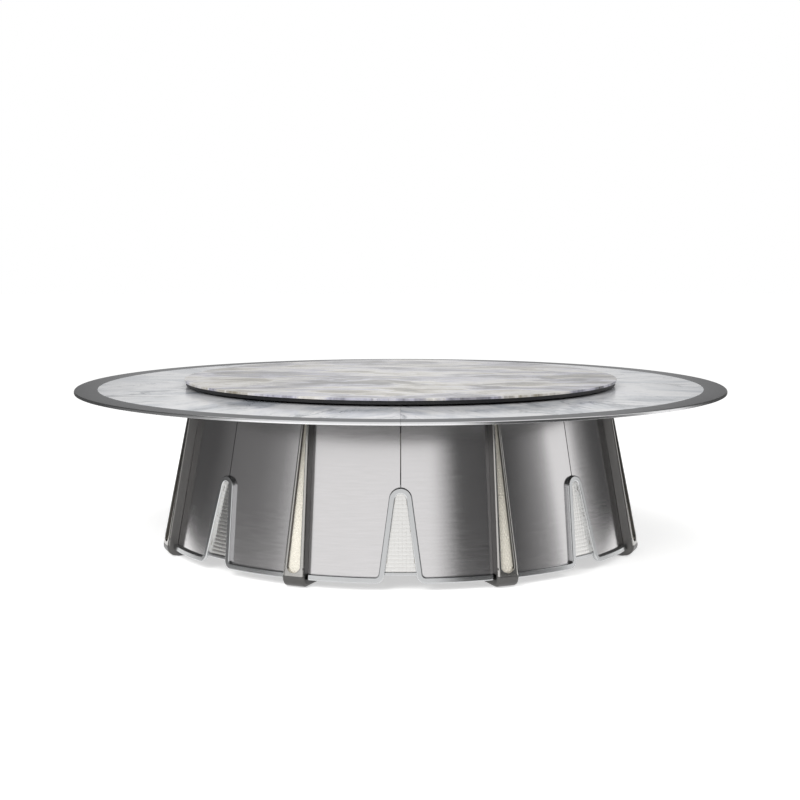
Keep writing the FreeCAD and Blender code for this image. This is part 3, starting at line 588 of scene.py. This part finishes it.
# Birch plywood: warm and pale, with long grain in bands about 25 mm wide and short darker pores.
ply, tree, shader = finish("birch_plywood", IOR=1.5)
place = add(tree, "ShaderNodeTexCoord")
grown = add(tree, "ShaderNodeMapping", {}, {"Vector": place.outputs["Object"], "Scale": (2.0, 14.0, 30.0)})
rings = add(tree, "ShaderNodeTexNoise", {}, {"Vector": grown.outputs[0], "Scale": 3.0, "Detail": 7.0,
                                             "Distortion": 1.6})
drawn = add(tree, "ShaderNodeMapping", {}, {"Vector": place.outputs["Object"], "Scale": (60.0, 900.0, 900.0)})
pores = add(tree, "ShaderNodeTexNoise", {}, {"Vector": drawn.outputs[0], "Scale": 1.0, "Detail": 2.0})
wood = add(tree, "ShaderNodeMix", {"data_type": "RGBA"},
           {0: rings.outputs[0], 6: linear("b8905f"), 7: linear("dcc096")})
speck = add(tree, "ShaderNodeMapRange", {}, {"Value": pores.outputs[0], "From Min": 0.35, "From Max": 0.5,
                                             "To Min": 0.3, "To Max": 0.0})
tone = add(tree, "ShaderNodeMix", {"data_type": "RGBA"},
           {0: speck.outputs[0], 6: wood.outputs[2], 7: linear("8a6640")})
dull = add(tree, "ShaderNodeMapRange", {}, {"Value": rings.outputs[0], "To Min": 0.5, "To Max": 0.68})
tree.links.new(tone.outputs[2], shader.inputs["Base Color"])
tree.links.new(dull.outputs[0], shader.inputs["Roughness"])
dented(tree, shader, pores.outputs[0], 0.25, 0.0005)

# Powder coat on mild steel: charcoal, satin, with an orange-peel skin about 2 mm across.
coated, tree, shader = finish("powder_coated_steel", IOR=1.5)
place = add(tree, "ShaderNodeTexCoord")
peel = add(tree, "ShaderNodeTexNoise", {}, {"Vector": place.outputs["Object"], "Scale": 420.0, "Detail": 2.0})
worn = add(tree, "ShaderNodeTexNoise", {}, {"Vector": place.outputs["Object"], "Scale": 9.0, "Detail": 5.0})
toned(tree, shader, worn.outputs[0], ("2f3133", "44474a"), (0.42, 0.58))
dented(tree, shader, peel.outputs[0], 0.3, 0.0004)

dress("centre_board", ply)
dress("edge_packers", black_laminate)
dress("deck_boards", black_laminate)
dress("deck_arms", coated)


# ---- Carcass inside the drum ---------------------------------------------------------------------
# Square steel posts behind the ribs, ring formers of black-faced ply that give the skin its curve, and
# steel beams that meet at a hub plate under the middle. Welded and screwed, seen only from below.

for node in ("lower_former", "middle_former", "upper_former"):
    dress(node, black_laminate)
for node in ("carcass_posts", "cross_beams", "hub_plate"):
    dress(node, coated)


# ---- Drum skin: eight leaves ---------------------------------------------------------------------
# Stainless sheet rolled to the cone of the drum. Each leaf runs from the middle of one bay to the middle
# of the next, with half an arched notch at each edge. Its long edges are bevelled, with black painted
# shade on the bevels, and meet in a fine seam.

DRUM_FLOOR_RADIUS = 1.148
LEAN = math.radians(11.3)
SLOPE = math.tan(LEAN)
SKIN = 0.003
SEAM = 0.0045
SEAM_ROOT = 0.001
BAR = 0.025
BAR_FOOT = 0.035
ARCH = 0.0365
ARCH_HEIGHT = 0.376
FLARE = math.radians(7.8)
CORNER = 0.016
CORNER_HEIGHT = BAR_FOOT + BAR + CORNER
CORNER_ACROSS = (ARCH + BAR / 2 + CORNER) / math.cos(FLARE) + (ARCH_HEIGHT - CORNER_HEIGHT) * math.tan(FLARE)
LEAF_COLUMNS = 60
LEAF_ROWS = 24
NOTCH_STEPS = 10

# A face of a leaf is part of a bevel where it looks outwards by a share between these two. The bevels
# take the black painted shade.
BEVEL_SHARES = (0.3, 0.9)


def drum_radius(height):
    return DRUM_FLOOR_RADIUS - height * SLOPE


def on_drum(across, height, depth, azimuth):
    """Point that stands a depth outside the skin, at a distance across from the line of an azimuth."""
    radius = drum_radius(height) + depth
    out = math.sqrt(radius ** 2 - across ** 2)
    return (out * math.cos(azimuth) - across * math.sin(azimuth),
            out * math.sin(azimuth) + across * math.cos(azimuth), height)


def notch_line():
    """Right half of the line round a notch, from its foot to the crown, as (across, height)."""
    bend = CORNER + BAR / 2
    line = []
    for step in range(NOTCH_STEPS + 1):
        angle = -math.pi / 2 - (math.pi / 2 - FLARE) * step / NOTCH_STEPS
        line.append((CORNER_ACROSS + bend * math.cos(angle), CORNER_HEIGHT + bend * math.sin(angle)))
    start, end = line[-1], (ARCH * math.cos(FLARE), ARCH_HEIGHT + ARCH * math.sin(FLARE))
    for step in range(1, 2 * NOTCH_STEPS):
        share = step / (2 * NOTCH_STEPS)
        line.append((start[0] + (end[0] - start[0]) * share, start[1] + (end[1] - start[1]) * share))
    for step in range(NOTCH_STEPS + 1):
        angle = FLARE + (math.pi / 2 - FLARE) * step / NOTCH_STEPS
        line.append((ARCH * math.cos(angle), ARCH_HEIGHT + ARCH * math.sin(angle)))
    return line


# Stainless sheet with a fine polish brushed round the drum: a soft mirror whose reflections run up and
# down in bands. Real lines are 0.1 mm apart, drawn 9 mm.
skin_steel = brushed_metal("polished_stainless_sheet", ("cfcdcd", "dcdadb"), 0.17, 0.35, 9.0)

leaf_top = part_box("skirt_leaf_1")[1].z
half_line = notch_line()
leaf_edge = [(across, height) for across, height in half_line if across > SEAM / 2]
crown = leaf_edge[-1][1]
leaf_edge += [(SEAM / 2, crown + (leaf_top - crown) * (step + 1) / LEAF_ROWS) for step in range(LEAF_ROWS)]
for index in range(BAYS):
    rows = []
    for across, height in leaf_edge:
        row = []
        root = across if across > SEAM / 2 else SEAM_ROOT / 2
        for depth, order, inset in ((0.0, 1, across), (-SKIN, -1, root)):
            radius = drum_radius(height) + depth
            half = BAY / 2 - math.asin(inset / drum_radius(height))
            for column in range(LEAF_COLUMNS + 1):
                turn = order * half * (2 * column / LEAF_COLUMNS - 1)
                azimuth = RIB_AZIMUTHS[index] + turn
                row.append(((radius * math.cos(azimuth), radius * math.sin(azimuth), height),
                            (radius * turn, height / math.cos(LEAN))))
        rows.append(row + row[:1])
    leaf = made_piece(f"drum_leaf_{index + 1}", [rows], [rows[0][:-1], rows[-1][:-1]], skin_steel)
    # The bevels of the seams take the black painted shade.
    leaf.data.materials.append(black_painted_shade)
    for face in leaf.data.polygons:
        outward = face.normal.dot(Vector((face.center.x, face.center.y, 0)).normalized())
        face.material_index = int(BEVEL_SHARES[0] < outward < BEVEL_SHARES[1])
    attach(leaf, "table")
    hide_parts(f"skirt_leaf_{index + 1}")


# ---- Bar round each bay --------------------------------------------------------------------------
# A rounded bar, bent to follow the foot of the panels, up one flank of the notch, over the arch and down
# again. It is screwed from inside and hides the cut edge of the skin. A small sill closes the notch.

BAR_DEPTH = 0.017
BAR_ROUND = 0.005
BAR_ROUND_STEPS = 8
FOOT_STEPS = 24
RIB_FOOT_WIDTH = 0.104
SEAT = 0.0003
SILL_DEPTH = 0.009
SILL_ROUND = 0.003
SILL_STEPS = 16


def swept_bar(line, section, azimuth):
    """Sheet and caps of a bar laid on the drum along a line (across, height)."""
    rows = []
    travel = 0.0
    ring = section + section[:1]
    for index, here in enumerate(line):
        before, after = line[max(index - 1, 0)], line[min(index + 1, len(line) - 1)]
        forward = Vector((after[0] - before[0], after[1] - before[1])).normalized()
        side = Vector((-forward.y, forward.x))
        travel += math.dist(line[max(index - 1, 0)], here)
        row = []
        around = 0.0
        for place, (shift, depth) in enumerate(ring):
            if place:
                around += math.dist(ring[place - 1], ring[place])
            row.append((on_drum(here[0] + side.x * shift, here[1] + side.y * shift, depth, azimuth),
                        (travel, around)))
        rows.append(row)
    return [rows], [rows[0][:-1], rows[-1][:-1]]


# Stainless bar, drawn and polished: the flat of its face runs light, and its rounded edges turn to a
# dark line on each side. Draw marks 0.1 mm apart are drawn 4 mm.
bar_steel = brushed_metal("polished_stainless_bar", ("bfc0c1", "cccdce"), 0.2, 0.3, 4.0)

bar_section = rounded([(-BAR / 2, 0.0), (-BAR / 2, BAR_DEPTH, BAR_ROUND), (BAR / 2, BAR_DEPTH, BAR_ROUND),
                       (BAR / 2, 0.0)], BAR_ROUND_STEPS)
bar_height = BAR_FOOT + BAR / 2
rib_turn = math.asin((RIB_FOOT_WIDTH / 2 + SEAT) / drum_radius(BAR_FOOT))
reach = drum_radius(bar_height) * math.sin(BAY / 2 - rib_turn)
foot_line = [(reach + (half_line[0][0] - reach) * step / FOOT_STEPS, bar_height)
             for step in range(FOOT_STEPS)]
right = foot_line + half_line
bar_line = [(-across, height) for across, height in right] + right[-2::-1]

low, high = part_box("notch_sills")
sill_middle, sill_half = (low.z + high.z) / 2, (high.z - low.z) / 2
sill_section = rounded([(-sill_half, SEAT), (-sill_half, SILL_DEPTH, SILL_ROUND),
                        (sill_half, SILL_DEPTH, SILL_ROUND), (sill_half, SEAT)])
sill_reach = (ARCH - BAR / 2) / math.cos(FLARE) + (ARCH_HEIGHT - sill_middle) * math.tan(FLARE)
sill_line = [(sill_reach * (2 * step / SILL_STEPS - 1), sill_middle) for step in range(SILL_STEPS + 1)]

for index in range(BAYS):
    sheets, caps = swept_bar(bar_line, bar_section, BAY_AZIMUTHS[index])
    bar = true_flats(made_piece(f"bay_bar_{index + 1}", sheets, caps, bar_steel))
    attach(bar, "table")
    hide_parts("bay_trims")
    sheets, caps = swept_bar(sill_line, sill_section, BAY_AZIMUTHS[index])
    sill = true_flats(made_piece(f"notch_sill_{index + 1}", sheets, caps, bar_steel))
    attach(sill, "table")
    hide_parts("notch_sills")


# ---- Woven panel in each notch -------------------------------------------------------------------
# Flat metal strands woven over and under each other on a backing sheet, set behind the bar. A strand is
# 15 mm wide and shows as a small pillow, upright and level by turns, every 16 mm.

STRAND_PITCH = 0.016
STRAND_WIDTH = 0.0152
STRAND_RISE = 0.0005
PILLOW_POINTS = 5


def shape_tree(name, sizes):
    """A Geometry Nodes tree that takes a layout of points, named sizes in metres and a finish."""
    tree = bpy.data.node_groups.new(name, "GeometryNodeTree")
    tree.interface.new_socket(name="Geometry", in_out="OUTPUT", socket_type="NodeSocketGeometry")
    tree.interface.new_socket(name="Layout", in_out="INPUT", socket_type="NodeSocketGeometry")
    for size in sizes:
        tree.interface.new_socket(name=size, in_out="INPUT", socket_type="NodeSocketFloat")
    tree.interface.new_socket(name="Finish", in_out="INPUT", socket_type="NodeSocketMaterial")
    return tree, add(tree, "NodeGroupInput").outputs


def set_out(tree, given, shape):
    """Ends a tree: the shape stands on every point, turned as the point says, in one plain mesh."""
    facing = add(tree, "GeometryNodeInputNamedAttribute", {"data_type": "FLOAT_VECTOR"}, {"Name": "facing"})
    turn = add(tree, "FunctionNodeEulerToRotation", {}, {0: facing.outputs[0]})
    copies = add(tree, "GeometryNodeInstanceOnPoints", {}, {"Points": given["Layout"], "Instance": shape,
                                                            "Rotation": turn.outputs[0]})
    real = add(tree, "GeometryNodeRealizeInstances", {}, {0: copies.outputs[0]})
    smooth = add(tree, "GeometryNodeSetShadeSmooth", {}, {0: real.outputs[0]})
    painted = add(tree, "GeometryNodeSetMaterial", {}, {0: smooth.outputs[0], "Material": given["Finish"]})
    add(tree, "NodeGroupOutput", {}, {0: painted.outputs[0]})
    return tree


def facing_out(azimuth, spin=0.0):
    """Euler angles that turn a flat shape to face outwards on the drum, spun in its own plane."""
    turn = Matrix.Rotation(azimuth, 3, "Z") @ Matrix.Rotation(math.pi / 2 - LEAN, 3, "Y")
    return tuple((turn @ Matrix.Rotation(spin, 3, "Z")).to_euler())


def grow(tree, name, layout, values):
    """The plain mesh that a tree makes on a layout of (point, Euler angles)."""
    mesh = bpy.data.meshes.new(name)
    mesh.from_pydata([point for point, turn in layout], [], [])
    facing = mesh.attributes.new("facing", "FLOAT_VECTOR", "POINT")
    for spot, (point, turn) in zip(facing.data, layout):
        spot.vector = turn
    piece = linked(name, mesh)
    maker = piece.modifiers.new("maker", "NODES")
    maker.node_group = tree
    for item in tree.interface.items_tree:
        if item.in_out == "INPUT" and item.name in values:
            maker[item.identifier] = values[item.name]
    bpy.context.view_layer.update()
    ready = piece.evaluated_get(bpy.context.evaluated_depsgraph_get())
    mesh = bpy.data.meshes.new_from_object(ready)
    piece.modifiers.remove(maker)
    piece.data = mesh
    return piece


def woven_tree():
    """Crossings of a plain weave. Each is a piece of strand, crowned to its middle.

    The crown is 1 in the middle and 0 at the corners, where the squared distance from it is a half.
    """
    tree, given = shape_tree("woven_crossings", ["Length", "Width", "Rise"])
    square = add(tree, "GeometryNodeMeshGrid", {}, {"Size X": 1.0, "Size Y": 1.0, "Vertices X": PILLOW_POINTS,
                                                    "Vertices Y": PILLOW_POINTS})
    at = add(tree, "GeometryNodeInputPosition")
    spread = add(tree, "ShaderNodeVectorMath", {"operation": "DOT_PRODUCT"},
                 {0: at.outputs[0], 1: at.outputs[0]})
    crown = add(tree, "ShaderNodeMath", {"operation": "MULTIPLY_ADD"},
                {0: spread.outputs["Value"], 1: -2.0, 2: 1.0})
    lift = add(tree, "ShaderNodeCombineXYZ", {}, {2: crown.outputs[0]})
    pillow = add(tree, "GeometryNodeSetPosition", {}, {"Geometry": square.outputs[0],
                                                       "Offset": lift.outputs[0]})
    size = add(tree, "ShaderNodeCombineXYZ", {}, {0: given["Length"], 1: given["Width"], 2: given["Rise"]})
    strand = add(tree, "GeometryNodeTransform", {}, {"Geometry": pillow.outputs[0], "Scale": size.outputs[0]})
    return set_out(tree, given, strand.outputs[0])


# Stainless strand with a pale champagne tint, rolled and satin: it takes the tone of the drum round it,
# a little warmer, with 5 mm rolling marks.
strand_metal = fine_metal("satin_champagne_strand", ("dddcda", "e8e7e5"), 0.24, 5, bump=0.03)

# Sheet behind the strands with a light bronze tint: a touch browner and duller than they are, so that
# the gaps of the weave show as fine lines. Its tint is uneven in 8 mm patches.
backing = fine_metal("bronzed_backing_sheet", ("bdb9b2", "cbc7c0"), 0.3, 8)
dress("notch_infills", backing)

weaver = woven_tree()
infill_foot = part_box("notch_infills")[0].z
lanes = math.ceil(2 * (ARCH + (ARCH_HEIGHT - infill_foot) * math.tan(FLARE)) / STRAND_PITCH / 2)
crossings = []
for row in range(math.floor((ARCH_HEIGHT + ARCH - infill_foot) / STRAND_PITCH)):
    height = infill_foot + (row + 0.5) * STRAND_PITCH
    above = max(height + STRAND_PITCH / 2 - ARCH_HEIGHT, 0.0)
    room = math.sqrt(max(ARCH ** 2 - above ** 2, 0.0)) if above else (
        ARCH / math.cos(FLARE) + (ARCH_HEIGHT - height) * math.tan(FLARE))
    crossings += [(lane * STRAND_PITCH, height, (row + lane) % 2) for lane in range(-lanes, lanes + 1)
                  if abs(lane) * STRAND_PITCH + STRAND_PITCH / 2 < room]
for index in range(BAYS):
    azimuth = BAY_AZIMUTHS[index]
    layout = [(on_drum(across, height, SEAT, azimuth),
               facing_out(azimuth + math.asin(across / drum_radius(height)), over * math.pi / 2))
              for across, height, over in crossings]
    panel = grow(weaver, f"woven_panel_{index + 1}", layout,
                 {"Length": STRAND_PITCH, "Width": STRAND_WIDTH, "Rise": STRAND_RISE, "Finish": strand_metal})
    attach(panel, "table")


# ---- Ribs ----------------------------------------------------------------------------------------
# Eight leaning ribs of satin stainless, tapered from a wide foot to a narrow head, with a long slot and
# round stiles. The foot is bent under the drum and stands on a glide. Pressed, welded and dressed smooth.

RIB_DEPTH = 0.044
RIB_HEAD_WIDTH = 0.034
RIB_BEND = 0.042
RIB_FOOT = 0.200
RIB_ROUND = 0.013
RIB_ROUND_SHARE = 0.62
RIB_LIP = 0.003
RIB_ROUND_STEPS = 6
HEEL_INSET = 0.030
HEEL_RISE_SHARE = 0.4
BEND_STEPS = 10
SHOULDER_STEPS = 8
FLANK_STEPS = 30
HEAD_STEPS = 6
PAD = 0.003
SLOT_BOTTOM = 0.066
SLOT_FOOT_RADIUS = 0.031
SLOT_FOOT_HALF = 0.030
SLOT_HEAD_HALF = 0.0065
SLOT_HEAD_GAP = 0.020
NEARLY = 1e-6

# A face of a rib takes the darker painted shade where it looks sideways by more than the first share,
# or up by less than the second.
SIDE_FROM = 0.85
BEND_BELOW = 0.12

rib_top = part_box("rib_1")[1].z
slot_top = rib_top - SLOT_HEAD_GAP
shoulder = SLOT_BOTTOM + SLOT_FOOT_RADIUS - math.sqrt(SLOT_FOOT_RADIUS ** 2 - SLOT_FOOT_HALF ** 2)


def rib_out(height, depth):
    """Distance from the table's axis of a point in the rib at a height and a depth from its back."""
    return drum_radius(height) + SEAT + depth / math.cos(LEAN)


def rib_half_width(height):
    share = (height - PAD) / (rib_top - PAD)
    return (RIB_FOOT_WIDTH + (RIB_HEAD_WIDTH - RIB_FOOT_WIDTH) * share) / 2


def slot_half_width(height):
    head = slot_top - SLOT_HEAD_HALF
    if height <= SLOT_BOTTOM or height >= slot_top:
        return 0.0
    if height < shoulder:
        return math.sqrt(SLOT_FOOT_RADIUS ** 2 - (SLOT_BOTTOM + SLOT_FOOT_RADIUS - height) ** 2)
    if height > head:
        return math.sqrt(SLOT_HEAD_HALF ** 2 - (height - head) ** 2)
    share = (height - shoulder) / (head - shoulder)
    return SLOT_FOOT_HALF + (SLOT_HEAD_HALF - SLOT_FOOT_HALF) * share


def rib_stations():
    """(front point, back point, half width, slot half width) from the toe of the foot to the head."""
    sole_top = PAD + RIB_DEPTH
    heel = rib_out(sole_top, 0)
    bend_height = PAD + RIB_BEND
    bend_out = rib_out(bend_height, RIB_DEPTH) - RIB_BEND / math.cos(LEAN)
    stations = []
    for share in (0.0, 0.5, 1.0):
        front = (heel - RIB_FOOT + (bend_out - heel + RIB_FOOT) * share, PAD)
        back = (heel - RIB_FOOT + (RIB_FOOT - HEEL_INSET) * share, sole_top)
        stations.append((front, back, rib_half_width(PAD), 0.0))
    for step in range(1, BEND_STEPS + 1):
        angle = -math.pi / 2 + (math.pi / 2 + LEAN) * step / BEND_STEPS
        front = (bend_out + RIB_BEND * math.cos(angle), bend_height + RIB_BEND * math.sin(angle))
        back_height = sole_top + (front[1] - PAD) * HEEL_RISE_SHARE
        back = (rib_out(back_height, 0), back_height)
        stations.append((front, back, rib_half_width(front[1]), 0.0))
    heights = [SLOT_BOTTOM + (shoulder - SLOT_BOTTOM) * (1 - math.cos(math.pi / 2 * step / SHOULDER_STEPS))
               for step in range(SHOULDER_STEPS + 1)]
    head = slot_top - SLOT_HEAD_HALF
    heights += [shoulder + (head - shoulder) * step / FLANK_STEPS for step in range(1, FLANK_STEPS + 1)]
    heights += [head + SLOT_HEAD_HALF * math.sin(math.pi / 2 * step / HEAD_STEPS)
                for step in range(1, HEAD_STEPS + 1)]
    heights.append(rib_top)
    for height in heights:
        stations.append(((rib_out(height, RIB_DEPTH), height), (rib_out(height, 0), height),
                         rib_half_width(height), slot_half_width(height)))
    return stations


def rib_piece(name, azimuth):
    """Both halves of a rib, each a strip of rounded sections, with walls along the slot."""
    turn = Matrix.Rotation(azimuth, 3, "Z")
    stations = rib_stations()
    halves = {-1: [], 1: []}
    walls = {-1: [], 1: []}
    travel = 0.0
    for index, (front, back, wide, slot) in enumerate(stations):
        travel += math.dist(stations[max(index - 1, 0)][0], front)
        lip = RIB_LIP * min(1.0, slot / SLOT_HEAD_HALF)
        edge = min(RIB_ROUND, RIB_ROUND_SHARE * (wide - slot))
        section = rounded([(slot, RIB_DEPTH, lip), (wide, RIB_DEPTH, edge), (wide, 0.0), (slot, 0.0)],
                          RIB_ROUND_STEPS)
        for side in (-1, 1):
            row = []
            around = 0.0
            for place, (across, depth) in enumerate(section):
                if place:
                    around += math.dist(section[place - 1], section[place])
                share = depth / RIB_DEPTH
                spot = Vector((back[0] + (front[0] - back[0]) * share, side * across,
                               back[1] + (front[1] - back[1]) * share))
                row.append((tuple(turn @ spot), (travel, around)))
            halves[side].append(row)
            if SLOT_BOTTOM - NEARLY <= front[1] <= slot_top + NEARLY:
                walls[side].append([row[0], row[-1]])
    caps = [halves[1][end] + halves[-1][end][-2:0:-1] for end in (0, -1)]
    rib = made_piece(name, [halves[-1], halves[1], walls[-1], walls[1]], caps, rib_steel)
    # Faces that look sideways or down take the darker copy of the steel as painted shade.
    rib.data.materials.append(rib_shade_steel)
    across = turn @ Vector((0, 1, 0))
    for face in rib.data.polygons:
        sideways = abs(face.normal.dot(across))
        face.material_index = int(sideways > SIDE_FROM or face.normal.z < BEND_BELOW)
    return true_flats(rib)


# Stainless with a satin polish. The round stiles run from light at the slot to dark at the side; brush
# lines follow the rib, drawn 3 mm apart where real ones are 0.1 mm.
rib_steel = brushed_metal("satin_stainless_rib", ("b4b2af", "c4c2bf"), 0.2, 0.3, 3.0)

# A darker copy of the rib's steel, as painted shade, on the sides of a rib, in its slot and under its
# bend. It draws the dark line beside each light stile and darkens the foot.
rib_shade_steel = brushed_metal("rib_flank_painted_shade", ("575655", "656463"), 0.3, 0.3, 3.0)

for index in range(BAYS):
    rib = rib_piece(f"drum_rib_{index + 1}", RIB_AZIMUTHS[index])
    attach(rib, "table")
    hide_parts(f"rib_{index + 1}")


# ---- Embossed strip in each rib ------------------------------------------------------------------
# Pale champagne sheet pressed with staggered beads, slid into the slot from behind and held by its lips.
# It lies 16 mm behind the rib's face.

INSERT_DEPTH = 0.028
INSERT_SHEET = 0.002
BEAD = 0.010
BEAD_PITCH = 0.0145
BEAD_RISE = 0.0018
BEAD_STEPS = 10
BEAD_RINGS = 3
BEAD_MARGIN = 0.0035
BEAD_LANES = 3

# Champagne lacquer on pressed sheet: almost white, with a silky sheen that hides the beads except
# where light grazes them. Mottle 6 mm across.
lacquer = mottled("champagne_lacquer", 160.0, 3.0, ("f1eadb", "f8f4e8"), (0.27, 0.36), Metallic=0.15,
                  IOR=1.5, Coat_Weight=0.5, Coat_Roughness=0.2)


def bead_tree():
    """Low round beads: flattened balls whose front halves stand out of the sheet."""
    tree, given = shape_tree("pressed_beads", ["Bead", "Rise"])
    ball = add(tree, "GeometryNodeMeshUVSphere", {}, {"Segments": BEAD_STEPS, "Rings": 2 * BEAD_RINGS,
                                                      "Radius": 0.5})
    size = add(tree, "ShaderNodeCombineXYZ", {}, {0: given["Bead"], 1: given["Bead"], 2: given["Rise"]})
    bead = add(tree, "GeometryNodeTransform", {}, {"Geometry": ball.outputs[0], "Scale": size.outputs[0]})
    return set_out(tree, given, bead.outputs[0])


beader = bead_tree()
bead_spots = []
bead_row = BEAD_PITCH * math.sqrt(3) / 2 * math.cos(LEAN)
for row in range(math.floor((slot_top - SLOT_BOTTOM) / bead_row)):
    height = SLOT_BOTTOM + (row + 0.5) * bead_row
    side_step = 0.5 * BEAD_PITCH if row % 2 and slot_half_width(height) > BEAD_PITCH else 0.0
    bead_spots += [(lane * BEAD_PITCH + side_step, height) for lane in range(-BEAD_LANES, BEAD_LANES + 1)
                   if abs(lane * BEAD_PITCH + side_step) + BEAD_MARGIN < slot_half_width(height)]
for index in range(BAYS):
    azimuth = RIB_AZIMUTHS[index]
    turn = Matrix.Rotation(azimuth, 3, "Z")
    rows = []
    for front, back, wide, slot in rib_stations():
        if not SLOT_BOTTOM - NEARLY <= front[1] <= slot_top + NEARLY:
            continue
        half = max(slot - SEAT, SEAT)
        corners = [(INSERT_DEPTH, -half), (INSERT_DEPTH, half), (INSERT_DEPTH - INSERT_SHEET, half),
                   (INSERT_DEPTH - INSERT_SHEET, -half), (INSERT_DEPTH, -half)]
        rows.append([(tuple(turn @ Vector((rib_out(front[1], depth), across, front[1]))), (across, front[1]))
                     for depth, across in corners])
    strip = made_piece(f"rib_strip_{index + 1}", [rows], [rows[0][:-1], rows[-1][:-1]], lacquer)
    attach(strip, "table")
    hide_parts("rib_inserts")
    layout = [(tuple(turn @ Vector((rib_out(height, INSERT_DEPTH), across, height))), facing_out(azimuth))
              for across, height in bead_spots]
    beads = grow(beader, f"rib_beads_{index + 1}", layout,
                 {"Bead": BEAD, "Rise": 2 * BEAD_RISE, "Finish": lacquer})
    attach(beads, "table")


# ---- Glides --------------------------------------------------------------------------------------
# Black felt-faced rubber under each foot, glued on, so that the steel doesn't touch the floor. The eight
# pads are all that the table stands on.

# Rubber with a felt face: deep black and quite matt, with a 1.5 mm nap.
rubber = mottled("felt_faced_rubber", 700.0, 4.0, ("141414", "2a2a2a"), (0.75, 0.95),
                 relief=(0.5, 0.0006), IOR=1.5)
dress("glide_pads", rubber)
